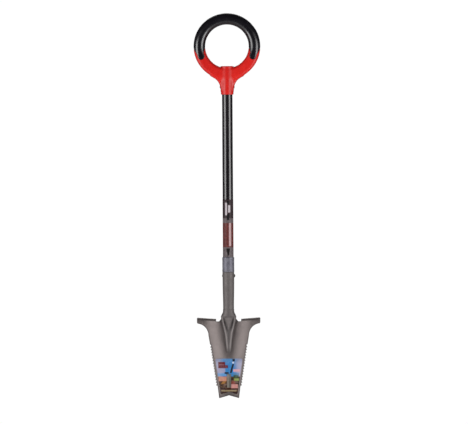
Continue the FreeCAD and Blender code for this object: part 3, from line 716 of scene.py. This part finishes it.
def mark_neck(piece):
    """Stores painted highlights on the tongue's lips and the tube's front, and painted shade in its hollows,
    centre crease and flanks.
    """
    x, y, z = vertex_places(piece)
    from_ridge = np.abs(x) - tongue_ridge_x(z)
    on_front = smoothstep((pan_y(x, z) - y) / FRONT_DEPTH) * smoothstep((FRONT_TOP - z) / FRONT_FADE)
    # Painted shade in the hollows inside the lips, in the centre crease and on the steep outer flanks.
    valley = bell(from_ridge + VALLEY_INSET, VALLEY_WIDTH) * smoothstep((z - VALLEY_FOOT) / VALLEY_FADE)
    crease = CREASE_SHADE * bell(x, CREASE_WIDTH) * smoothstep((CREASE_TOP - z) / CREASE_FADE)
    flank = smoothstep((from_ridge - FLANK_START) / FLANK_WIDTH)
    # Painted highlight along the lips and on the tube's front.
    line = bell(from_ridge, LIP_HIGHLIGHT_WIDTH) * smoothstep((z - LIP_HIGHLIGHT_FOOT) / LIP_HIGHLIGHT_FADE)
    tube_half_width = NECK_WAIST_RADIUS * unit((z - TUBE_END) / (FLARE_EAR - TUBE_END))
    tube = TUBE_HIGHLIGHT * smoothstep((tube_half_width - np.abs(x)) / TUBE_HIGHLIGHT_EDGE)
    # The bright mark holds painted highlights; the dark mark holds painted shade.
    store(piece, "painted_highlight", on_front * np.maximum(line, tube))
    store(piece, "rim", on_front * np.maximum.reduce([valley, crease, flank]))


def make_blade_and_neck():
    half, front, rear = WING_HALF_WIDTH + MARGIN, PAN_BACK - PAN_RISE - 2.5, TREAD_REAR + MARGIN
    high = (half, rear, TREAD_OUTER_TOP + 3)
    blade = surface_net("blade_sheet", blade_field, (-half, front, -MARGIN), high, BLADE_CELL)
    mark_blade(blade)
    dress(blade, powder_coat("blade_coat", "837a78", 0.8, 0.46), "blade")
    half, deep = FLARE_EAR_HALF_WIDTH + 6, NECK_TOP_RADIUS + MARGIN
    high = (half, deep, NECK_HIGH[2] + MARGIN)
    neck = surface_net("neck", neck_field, (-half, -deep, TONGUE_TIP - MARGIN), high, NECK_CELL)
    mark_neck(neck)
    dress(neck, powder_coat("neck_coat", "6a6463", 0.35, 0.58), "neck_socket")


FRONT_BEAD = {"radius": 1.7, "ripple": 0.16, "pitch": 1.9}
REAR_BEAD = {"radius": 2.6, "ripple": 0.2, "pitch": 2.4}
REAR_BEAD_HALF_WIDTH, REAR_BEAD_DROP = 16.5, 50


def front_bead_path(side):
    """Along the foot of one lip, just proud of the blade's face."""
    heights = np.linspace(TONGUE_TIP, TONGUE_TOP - 4, 60)
    width = tongue_ridge_x(heights) + lip_half_width(heights) + 0.2
    return [(side * w, pan_y(w, z) + 0.3, z) for w, z in zip(width, heights)]


def rear_bead_path():
    """A deep U on the back of the blade, about the rear tongue."""
    back = PAN_BACK + SHEET + REAR_PROUD
    half, drop = REAR_BEAD_HALF_WIDTH, REAR_BEAD_DROP
    angles = np.radians(np.linspace(0, 180, 80))
    return [(half * math.cos(a), back, TONGUE_TOP - drop * math.sin(a)) for a in angles]


def make_welds():
    for node, path, shape in (("front_weld_right", front_bead_path(1), FRONT_BEAD),
                              ("front_weld_left", front_bead_path(-1), FRONT_BEAD),
                              ("rear_weld", rear_bead_path(), REAR_BEAD)):
        bead = swept_bead(node + "_bead", path, **shape)
        # The beads' coat is darker than the neck's. Along the front it also serves as painted shade in the
        # grooves at the feet of the tongue's lips.
        dress(bead, powder_coat("weld_coat", "574f4d", 0.6, 0.5), node)


# ------ shaft

SLEEVE_FOOT_RADIUS = 14.3
SLEEVE_INSET = 0.15
CORE_WALL = 1.6
COLLAR_LIP, COLLAR_STEP, COLLAR_GROOVE = 7, 1, 0.3


def shaft_wobble(angles, height):
    """The resin's shallow flow marks and its two moulding lines."""
    lines = 0.12 * bell(np.cos(angles), 0.03)
    return lines + 0.035 * np.sin(3 * angles + height / 41) + 0.02 * math.sin(height / 17)


def tube_profile(inside, outside, low, high, inner_round, outer_round):
    return rounded_profile([(inside, low, inner_round), (outside, low, outer_round),
                            (outside, high, outer_round), (inside, high, inner_round)])


def make_sleeve_and_core():
    bore, outside = CORE_HIGH[0], SHAFT_RADIUS - SLEEVE_INSET
    sleeve = lathe("resin_sleeve", subdivided(rounded_profile([
        (bore, SLEEVE_LOW[2], 0), (SLEEVE_FOOT_RADIUS, SLEEVE_LOW[2], 0.6), (outside, COLLAR_LOW[2], 0),
        (outside, SLEEVE_HIGH[2], 0.6), (bore, SLEEVE_HIGH[2], 0)])), 160, shaft_wobble)
    dress(sleeve, shaft_resin(), "shaft_sleeve")
    profile = tube_profile(bore - CORE_WALL, bore - 0.02, CORE_LOW[2], CORE_HIGH[2], 0.3, 0.3)
    core = lathe("core_tube", profile, 96)
    dress(core, bare_steel("tube_steel", 0.32), "shaft_core_tube")


def make_collar():
    """A ferrule with a raised lip at either end."""
    bore, r = SHAFT_RADIUS + FIT, COLLAR_HIGH[0]
    low, high = COLLAR_LOW[2], COLLAR_HIGH[2]
    groove, step = r - COLLAR_GROOVE, COLLAR_LIP + COLLAR_STEP
    ring = lathe("ferrule", rounded_profile([
        (bore, low, 0.3), (r, low, 2.2), (r, low + COLLAR_LIP, 0.5), (groove, low + step, 0.5),
        (groove, high - step, 0.5), (r, high - COLLAR_LIP, 0.5), (r, high, 2.6), (bore, high, 0.3)]), 128)
    dress(ring, ferrule_coat(), "collar")


def make_wrap():
    profile = tube_profile(SHAFT_RADIUS, WRAP_HIGH[0], WRAP_LOW[2], WRAP_HIGH[2], 0, 0.05)
    wrap = lathe("shaft_wrap", subdivided(profile), 160)
    dress(wrap, wrap_print(), "shaft_label")


# ------ blade sticker

STICKER_COLUMNS, STICKER_ROWS = 72, 96
STICKER_LOW, STICKER_HIGH = 12, 116
STICKER_LOW_HALF, STICKER_HIGH_HALF = 24.5, 40
STICKER_CORNER, STICKER_THICKNESS, STICKER_GAP = 4, 0.22, 0.02


def sticker_places():
    """The sticker's grid in the front view: a taper with round corners, notched below like the blade."""
    height = STICKER_HIGH - STICKER_LOW
    notch = TIP_RISE * STICKER_LOW_HALF / TIP_HALF_WIDTH
    places = []
    for j in range(STICKER_ROWS + 1):
        t = j / STICKER_ROWS
        half = STICKER_LOW_HALF + (STICKER_HIGH_HALF - STICKER_LOW_HALF) * t
        cut = max(STICKER_CORNER - t * height, STICKER_CORNER - (1 - t) * height, 0)
        half -= STICKER_CORNER - math.sqrt(max(STICKER_CORNER ** 2 - cut ** 2, 0))
        for i in range(STICKER_COLUMNS + 1):
            u = 2 * i / STICKER_COLUMNS - 1
            places.append((u * half, STICKER_LOW + height * t + (1 - t) * notch * (1 - abs(u))))
    return np.array(places)


def sticker_faces():
    """Front, back and rim of the closed sheet; the back's points follow the front's."""
    columns, rows = STICKER_COLUMNS, STICKER_ROWS
    wide = columns + 1
    back = wide * (rows + 1)
    corners = [j * wide + i for j in range(rows) for i in range(columns)]
    faces = [(a, a + 1, a + wide + 1, a + wide) for a in corners]
    faces += [tuple(v + back for v in reversed(face)) for face in faces]
    rim = list(range(wide))
    rim += [j * wide + columns for j in range(1, rows + 1)]
    rim += [rows * wide + i for i in range(columns - 1, -1, -1)]
    rim += [j * wide for j in range(rows - 1, 0, -1)]
    faces += [(b, a, a + back, b + back) for a, b in zip(rim, rim[1:] + rim[:1])]
    return faces


def make_blade_sticker():
    x, z = sticker_places().T
    face = pan_y(x, z)
    lift = 0.02 + 0.05 * np.sin(z / 9) * np.sin(x / 7)
    front = np.stack([x, face - STICKER_THICKNESS - np.abs(lift), z], 1)
    back = np.stack([x, face - STICKER_GAP, z], 1)
    piece = new_piece("blade_sticker", np.concatenate([front, back]), sticker_faces())
    dress(piece, sticker_print(), "blade_label")


# ------ materials

def srgb(code):
    """A hex colour as linear RGBA."""
    values = [int(code[i:i + 2], 16) / 255 for i in (0, 2, 4)]
    linear = [v / 12.92 if v <= 0.04045 else ((v + 0.055) / 1.055) ** 2.4 for v in values]
    return (*linear, 1)


# The colour sockets of Blender's Mix node, which has others of the same names.
MIX_FACTOR, MIX_A, MIX_B, MIX_RESULT = 0, 6, 7, 2


class Nodes:
    """A short hand for building one material's node tree."""

    def __init__(self, name):
        self.material = bpy.data.materials.new(name)
        self.material.use_nodes = True
        self.tree = self.material.node_tree
        self.tree.nodes.clear()
        self.out = self.tree.nodes.new("ShaderNodeOutputMaterial")
        self.shader = self.add("ShaderNodeBsdfPrincipled")
        self.link(self.shader.outputs["BSDF"], self.out.inputs["Surface"])
        self.place = self.add("ShaderNodeTexCoord").outputs["Object"]
        self.axes = self.add("ShaderNodeSeparateXYZ")
        self.link(self.place, self.axes.inputs[0])

    def add(self, kind, **settings):
        """A new node; a capitalised setting feeds the socket of that name, any other is the node's own."""
        node = self.tree.nodes.new(kind)
        for key, value in settings.items():
            if key[0].isupper():
                self.put(node.inputs[key.replace("_", " ")], value)
            else:
                setattr(node, key, value)
        return node

    def link(self, source, target):
        self.tree.links.new(source, target)

    def put(self, target, value):
        """Feeds a socket from another socket, or sets it to a hex colour or a plain value."""
        if hasattr(value, "is_output"):
            self.link(value, target)
        else:
            target.default_value = srgb(value) if isinstance(value, str) else value

    def math(self, operation, a, b=0):
        node = self.add("ShaderNodeMath", operation=operation)
        self.put(node.inputs[0], a)
        self.put(node.inputs[1], b)
        return node.outputs[0]

    def times(self, a, b):
        return self.math("MULTIPLY", a, b)

    def axis(self, letter):
        return self.axes.outputs[letter]

    def stretched(self, scale):
        return self.add("ShaderNodeMapping", Vector=self.place, Scale=scale).outputs[0]

    def noise(self, scale, detail=4, rough=0.55, vector=None):
        node = self.add("ShaderNodeTexNoise", Vector=vector or self.place, Scale=scale, Detail=detail,
                        Roughness=rough)
        return node.outputs["Fac"]

    def spread(self, value, low, high, to_low=0, to_high=1):
        """Remaps a value from one range to another, smoothly and held at the ends."""
        node = self.add("ShaderNodeMapRange", interpolation_type="SMOOTHSTEP", Value=value, From_Min=low,
                        From_Max=high, To_Min=to_low, To_Max=to_high)
        return node.outputs[0]

    def drift(self, noise, to_low=0, to_high=1):
        """A noise's middle range, spread between two values."""
        return self.spread(noise, 0.3, 0.7, to_low, to_high)

    def mix(self, share, a, b):
        node = self.add("ShaderNodeMix", data_type="RGBA")
        self.put(node.inputs[MIX_FACTOR], share)
        self.put(node.inputs[MIX_A], a)
        self.put(node.inputs[MIX_B], b)
        return node.outputs[MIX_RESULT]

    def glaze(self, colour, where, strength, over):
        """Lays a second colour over the first, as strongly as the place and the strength say."""
        return self.mix(self.times(where, strength), colour, over)

    def bump(self, height, strength, distance, after=None):
        node = self.add("ShaderNodeBump", Strength=strength, Distance=distance, Height=height)
        if after is not None:
            self.link(after, node.inputs["Normal"])
        return node.outputs["Normal"]

    def finish(self, colour, roughness, normal=None, **plain):
        self.put(self.shader.inputs["Base Color"], colour)
        self.put(self.shader.inputs["Roughness"], roughness)
        if normal is not None:
            self.link(normal, self.shader.inputs["Normal"])
        for key, value in plain.items():
            self.put(self.shader.inputs[key.replace("_", " ")], value)
        return self.material


def edge_wear_and_rim_shade(n, low=0.52, high=0.60):
    """How convex the surface is: near one along outer edges, used for worn edges and for painted rim shade.
    """
    return n.spread(n.add("ShaderNodeNewGeometry").outputs["Pointiness"], low, high)


def red_plastic():
    n = Nodes("red_plastic")
    cloud = n.noise(9, 3)
    speck = n.noise(420, 2)
    colour = n.mix(n.drift(cloud), "d21812", "e3221a")
    # Painted shade: the red turns darker where the surface turns away, towards the silhouette.
    facing = n.add("ShaderNodeLayerWeight").outputs["Facing"]
    colour = n.glaze(colour, n.spread(facing, 0.45, 0.9), 0.8, "7c0d0a")
    # Painted shade: a darker red outline along the convex edges of the arms and socket.
    colour = n.glaze(colour, edge_wear_and_rim_shade(n), 0.3, "a5120e")
    colour = n.glaze(colour, n.spread(speck, 0.62, 0.75), 0.12, "8e0d0a")
    rough = n.drift(n.noise(60, 4), 0.36, 0.46)
    normal = n.bump(n.noise(900, 2), 0.04, 0.0003)
    normal = n.bump(n.noise(35, 2), 0.05, 0.002, normal)
    return n.finish(colour, rough, normal, Specular_IOR_Level=0.4)


def grip_rubber():
    n = Nodes("grip_rubber")
    cloud = n.noise(14, 4)
    dust = n.noise(160, 5, 0.7)
    colour = n.mix(n.drift(cloud), "06040a", "0f0b14")
    colour = n.glaze(colour, n.spread(dust, 0.55, 0.8), 0.15, "2a2531")
    rough = n.drift(n.noise(45, 4), 0.25, 0.32)
    pebble = n.add("ShaderNodeTexVoronoi", feature="SMOOTH_F1", Vector=n.place, Scale=900)
    normal = n.bump(pebble.outputs["Distance"], 0.03, 0.0004)
    return n.finish(colour, rough, normal, Specular_IOR_Level=0.8)


def shaft_resin():
    n = Nodes("shaft_resin")
    streak = n.noise(120, 5, 0.6, n.stretched((1, 1, 0.03)))
    colour = n.mix(n.spread(streak, 0.35, 0.7), "0e090d", "1c161b")
    scuff = n.spread(n.noise(70, 6, 0.75, n.stretched((1, 1, 0.35))), 0.60, 0.72)
    colour = n.glaze(colour, scuff, 0.22, "4a464b")
    rough = n.spread(streak, 0.3, 0.75, 0.22, 0.33)
    normal = n.bump(streak, 0.10, 0.0006)
    normal = n.bump(n.noise(1500, 2), 0.06, 0.0002, normal)
    return n.finish(colour, rough, normal, Specular_IOR_Level=0.7, Coat_Weight=0.15, Coat_Roughness=0.15)


def toned(colour, factor):
    return (*[min(factor * v, 1) for v in colour[:3]], 1)


def powder_coat(name, light, metal, roughness):
    """A satin grey coat, painted dark where a piece is marked with painted shade or the darker tip, painted
    bright where it is marked with painted highlights, and paler where worn.
    """
    n = Nodes(name)
    cloud = n.noise(16, 5, 0.6)
    grain = n.noise(700, 3, 0.6)
    base = srgb(light)
    dark, pale, painted_highlight_tone = toned(base, 0.45), toned(base, 1.35), toned(base, 2.2)
    colour = n.glaze(base, n.spread(cloud, 0.35, 0.75), 0.30, pale)
    colour = n.glaze(colour, n.spread(grain, 0.5, 0.75), 0.25, dark)
    # The stored marks: painted shade (with the darker tip) glazed dark, painted highlights glazed bright.
    for mark, strength, tone in (("rim", 0.75, dark), ("painted_highlight", 0.9, painted_highlight_tone)):
        stored = n.add("ShaderNodeAttribute", attribute_name=mark).outputs["Fac"]
        colour = n.glaze(colour, stored, strength, tone)
    worn = n.times(edge_wear_and_rim_shade(n, 0.54, 0.63), n.spread(n.noise(90, 4, 0.7), 0.45, 0.62))
    colour = n.glaze(colour, worn, 0.35, pale)
    rough = n.drift(n.noise(50, 4), roughness - 0.05, roughness + 0.05)
    normal = n.bump(grain, 0.06, 0.0004)
    normal = n.bump(n.noise(28, 3), 0.05, 0.003, normal)
    return n.finish(colour, rough, normal, Metallic=metal, Specular_IOR_Level=0.4)


def bare_steel(name, roughness):
    n = Nodes(name)
    scratch = n.noise(220, 5, 0.7, n.stretched((1, 1, 0.08)))
    colour = n.mix(n.drift(scratch), "8b8786", "b9b5b3")
    stain = n.spread(n.noise(120, 4), 0.55, 0.75)
    colour = n.glaze(colour, stain, 0.4, "5c5654")
    rough = n.drift(scratch, roughness, roughness + 0.15)
    return n.finish(colour, rough, n.bump(scratch, 0.15, 0.0003), Metallic=1)


def ferrule_coat():
    n = Nodes("ferrule_coat")
    grain = n.noise(600, 3, 0.65)
    cloud = n.noise(60, 5, 0.7)
    colour = n.mix(n.drift(cloud), "66646f", "82818a")
    colour = n.glaze(colour, n.spread(grain, 0.5, 0.7), 0.35, "4d4b53")
    rough = n.drift(cloud, 0.5, 0.62)
    return n.finish(colour, rough, n.bump(grain, 0.2, 0.0004), Metallic=0.45)


def window(n, value, low, high, edge):
    """One inside low..high, in mm, and zero outside, with soft borders."""
    rise = n.spread(value, (low - edge) * MM, (low + edge) * MM)
    fall = n.spread(value, (high - edge) * MM, (high + edge) * MM, 1, 0)
    return n.times(rise, fall)


EDGE = 0.9


def patch(n, colour, paint, x_low, x_high, z_low, z_high, edge=EDGE, strength=1, lean=0):
    """Paints one block over what is there; lean slants it, as dx per dz about its middle."""
    shift = n.times(n.math("SUBTRACT", n.axis("Z"), (z_low + z_high) / 2 * MM), lean)
    across = window(n, n.math("SUBTRACT", n.axis("X"), shift), x_low, x_high, edge)
    inside = n.times(across, window(n, n.axis("Z"), z_low, z_high, edge))
    return n.glaze(colour, inside, strength, paint)


def patches(n, colour, blocks):
    for block in blocks:
        colour = patch(n, colour, *block)
    return colour


# Each block: a colour, x from and to, z from and to in mm, then soft edge, strength and lean if they differ.
SKY_BLOCKS = (
    ("a9a6c4", -36, -11, 73.5, 87.5, EDGE, 0.85), ("6ba4dc", -36, -9, 65, 73.5, EDGE, 0.9),
    ("6d2630", -31.5, -11, 96.5, 106.5), ("6d2630", -31.5, -3, 88, 97),
    ("a0686e", -29, -14, 96.5, 100, EDGE, 0.6), ("dfa9b4", 12.5, 32, 77.5, 85),
    ("4a86b4", 12, 29, 63, 73.5, EDGE, 0.8))
SOIL_BLOCKS = (
    ("cf9079", -30.5, -7, 50, 63.5, 1.4), ("b9803f", -21, -11, 42, 50, 1.4, 0.8, 0.7),
    ("35502f", 13, 28, 58, 68, 1.6, 0.9), ("9db05a", 15, 29, 51, 58, 1.6, 0.9),
    ("8e3a28", 7, 18, 41, 50, 1.4, 0.9), ("d5948c", 6, 26, 29, 41, 1.4),
    ("3a150e", -26, 26, 24.5, 29, 1), ("a08c68", -22.5, 22.5, 19.5, 24.5, 1, 0.9),
    ("35180f", -26, 26, 13.5, 19.5, 1))
OVER_BLOCKS = (
    ("20242c", 6, 11.5, 74, 100, 0.7, 1, 0.28), ("dfe6f2", 10, 14.5, 102, 106.5),
    ("101828", 10.5, 17.5, 108, 115.5), ("2b3440", -13, -0.5, 71.5, 76.5),
    ("6b665e", -6.5, 6.5, 31, 71.5, EDGE, 0.9), ("8d857b", -5.5, 0, 31, 69, EDGE, 0.8))
WRAP_BLOCKS = (
    ("cba9aa", 2.5, 8.8, 446, 514, EDGE, 0.9), ("c9bfc4", -8.2, -2.6, 536.5, 573.5),
    ("cfc6ca", 0.6, 6.6, 545, 566), ("060407", -3.2, 3.2, 522.5, 540),
    ("060407", -3, 3, 569, 579))
WEDGE_FOOT, WEDGE_TOP = 418, 439.5
BORDER = 1.5


def sticker_print():
    """A glossy print of generic blocks: sky over soil, a slanted dark bar and patches of warm colour."""
    n = Nodes("sticker_print")
    z = n.axis("Z")
    side = n.spread(n.math("ABSOLUTE", n.axis("X")), 0.010, 0.034)
    low_sky = n.mix(side, "3a86c8", "b4b2cc")
    high_sky = n.mix(side, "5a8fc4", "8f93b0")
    colour = patches(n, n.mix(n.spread(z, 0.098, 0.114), low_sky, high_sky), SKY_BLOCKS)
    ground = n.mix(n.spread(n.noise(110, 4, 0.7), 0.35, 0.65), "1d100a", "6b4526")
    colour = patches(n, n.mix(n.spread(z, 0.0655, 0.0620), colour, ground), SOIL_BLOCKS + OVER_BLOCKS)
    colour = n.glaze(colour, n.spread(n.noise(55, 5, 0.7), 0.45, 0.75), 0.16, "e8e4ee")
    rough = n.drift(n.noise(80, 3), 0.16, 0.28)
    normal = n.bump(n.noise(40, 3), 0.14, 0.001)
    return n.finish(colour, rough, normal, Coat_Weight=0.6, Coat_Roughness=0.08)


def wrap_print():
    """The shaft's wrap: a dark head with two pale bars, a grey band, a brick zone and a grey foot."""
    n = Nodes("wrap_print")
    z = n.axis("Z")
    fine = n.noise(240, 4, 0.7)
    grain = n.spread(fine, 0.35, 0.65)
    brick, grey = n.mix(grain, "4e1c1a", "743431"), n.mix(grain, "544a4c", "74696b")
    head = n.mix(n.spread(fine, 0.4, 0.65), "1c1217", "3c2429")
    bands = grey
    for border, above in ((443, brick), (514, grey), (528, head)):
        bands = n.mix(n.spread(z, (border - BORDER) * MM, (border + BORDER) * MM), bands, above)
    on_front = n.spread(n.axis("Y"), -0.002, 0.002, 1, 0)
    colour = n.mix(on_front, bands, wedge(n, patches(n, bands, WRAP_BLOCKS)))
    rough = n.drift(n.noise(90, 3), 0.48, 0.58)
    return n.finish(colour, rough, n.bump(fine, 0.05, 0.0003), Specular_IOR_Level=0.3)


def wedge(n, colour):
    """A dark tapered mark on the wrap's grey foot."""
    z = n.axis("Z")
    half = n.spread(z, WEDGE_FOOT * MM, WEDGE_TOP * MM, 0.0022, 0.0056)
    across = n.spread(n.math("SUBTRACT", n.math("ABSOLUTE", n.axis("X")), half), -0.0005, 0.0005, 1, 0)
    return n.mix(n.times(across, window(n, z, WEDGE_FOOT, WEDGE_TOP, 0.6)), colour, "0d0304")


def paint(piece, material):
    piece.data.materials.clear()
    piece.data.materials.append(material)


def dress(piece, material, node):
    """Gives a piece its material and puts it in place of a CAD node."""
    paint(piece, material)
    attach(piece, "root")
    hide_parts(node)


def paint_rivets():
    """The two rivets are the frame's own solids: plain steel in the handle, coated with the neck below."""
    paint(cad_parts["handle_rivet"], bare_steel("handle_rivet_steel", 0.38))
    paint(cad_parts["neck_rivet"], powder_coat("neck_rivet_coat", "47423f", 0.5, 0.5))


# ------ stage, light and camera

FLOOR_SIZE_M = 2.4
LIGHT_HEIGHT_M = 1.6
AIM_Z, AIM_TILT = 0.55, 0.2
PICTURE_WIDTH_M = 1.3726
PICTURE_CENTRE = (0.0177, 0.5461)
CAMERA_DISTANCE_M = 6
CAMERA_LEAN_DEG = 0.36
STUDIO_TINT, STUDIO_STRENGTH = (0.80, 0.82, 0.88, 1), 0.06
WHITE, WHITE_STRENGTH = (1, 1, 1, 1), 1.02


def make_floor():
    bpy.ops.mesh.primitive_plane_add(size=FLOOR_SIZE_M)
    floor = bpy.context.object
    floor.name = "floor"
    n = Nodes("pale_floor")
    tone = n.mix(n.drift(n.noise(3, 3)), "ececec", "f4f4f4")
    floor.data.materials.append(n.finish(tone, 0.7))


def soft_box(name, azimuth_deg, distance, width, power, centre_z):
    """A tall rectangular light that faces the tool; azimuth 0 is in front, positive to the right."""
    light = bpy.data.lights.new(name, "AREA")
    light.shape = "RECTANGLE"
    light.size, light.size_y = width, LIGHT_HEIGHT_M
    light.energy = power
    lamp = new_object(name, light)
    a = math.radians(azimuth_deg)
    lamp.location = (distance * math.sin(a), -distance * math.cos(a), centre_z)
    aim = Vector((0, 0, AIM_Z)) - lamp.location
    aim.z *= AIM_TILT
    lamp.rotation_euler = aim.to_track_quat("-Z", "Y").to_euler()


def make_world():
    """White to the camera, and a dim studio to everything else."""
    world = bpy.data.worlds.new("studio")
    bpy.context.scene.world = world
    world.use_nodes = True
    tree = world.node_tree
    tree.nodes.clear()
    out = tree.nodes.new("ShaderNodeOutputWorld")
    mix = tree.nodes.new("ShaderNodeMixShader")
    path = tree.nodes.new("ShaderNodeLightPath")
    tree.links.new(path.outputs["Is Camera Ray"], mix.inputs[0])
    for place, (tint, strength) in enumerate(((STUDIO_TINT, STUDIO_STRENGTH), (WHITE, WHITE_STRENGTH)), 1):
        background = tree.nodes.new("ShaderNodeBackground")
        background.inputs["Color"].default_value = tint
        background.inputs["Strength"].default_value = strength
        tree.links.new(background.outputs[0], mix.inputs[place])
    tree.links.new(mix.outputs[0], out.inputs[0])


def make_camera():
    """Dead front with parallel rays, and rolled a little, so that the tool leans to the left."""
    camera_data = bpy.data.cameras.new("front_camera")
    camera_data.type = "ORTHO"
    camera_data.ortho_scale = PICTURE_WIDTH_M
    camera = new_object("front_camera", camera_data)
    camera.location = (PICTURE_CENTRE[0], -CAMERA_DISTANCE_M, PICTURE_CENTRE[1])
    camera.rotation_euler = (math.radians(90), math.radians(CAMERA_LEAN_DEG), 0)
    bpy.context.scene.camera = camera


def make_stage():
    make_floor()
    soft_box("left_box", azimuth_deg=-56, distance=2.2, width=1.25, power=38, centre_z=0.55)
    soft_box("right_box", azimuth_deg=52, distance=2.2, width=1.15, power=36, centre_z=0.55)
    soft_box("back_box", azimuth_deg=180, distance=1.9, width=1.6, power=24, centre_z=2.2)
    make_world()
    make_camera()
    bpy.context.scene.view_settings.view_transform = "Standard"


def main():
    make_handle()
    make_blade_and_neck()
    make_welds()
    make_sleeve_and_core()
    make_collar()
    make_wrap()
    make_blade_sticker()
    paint_rivets()
    make_stage()


main()
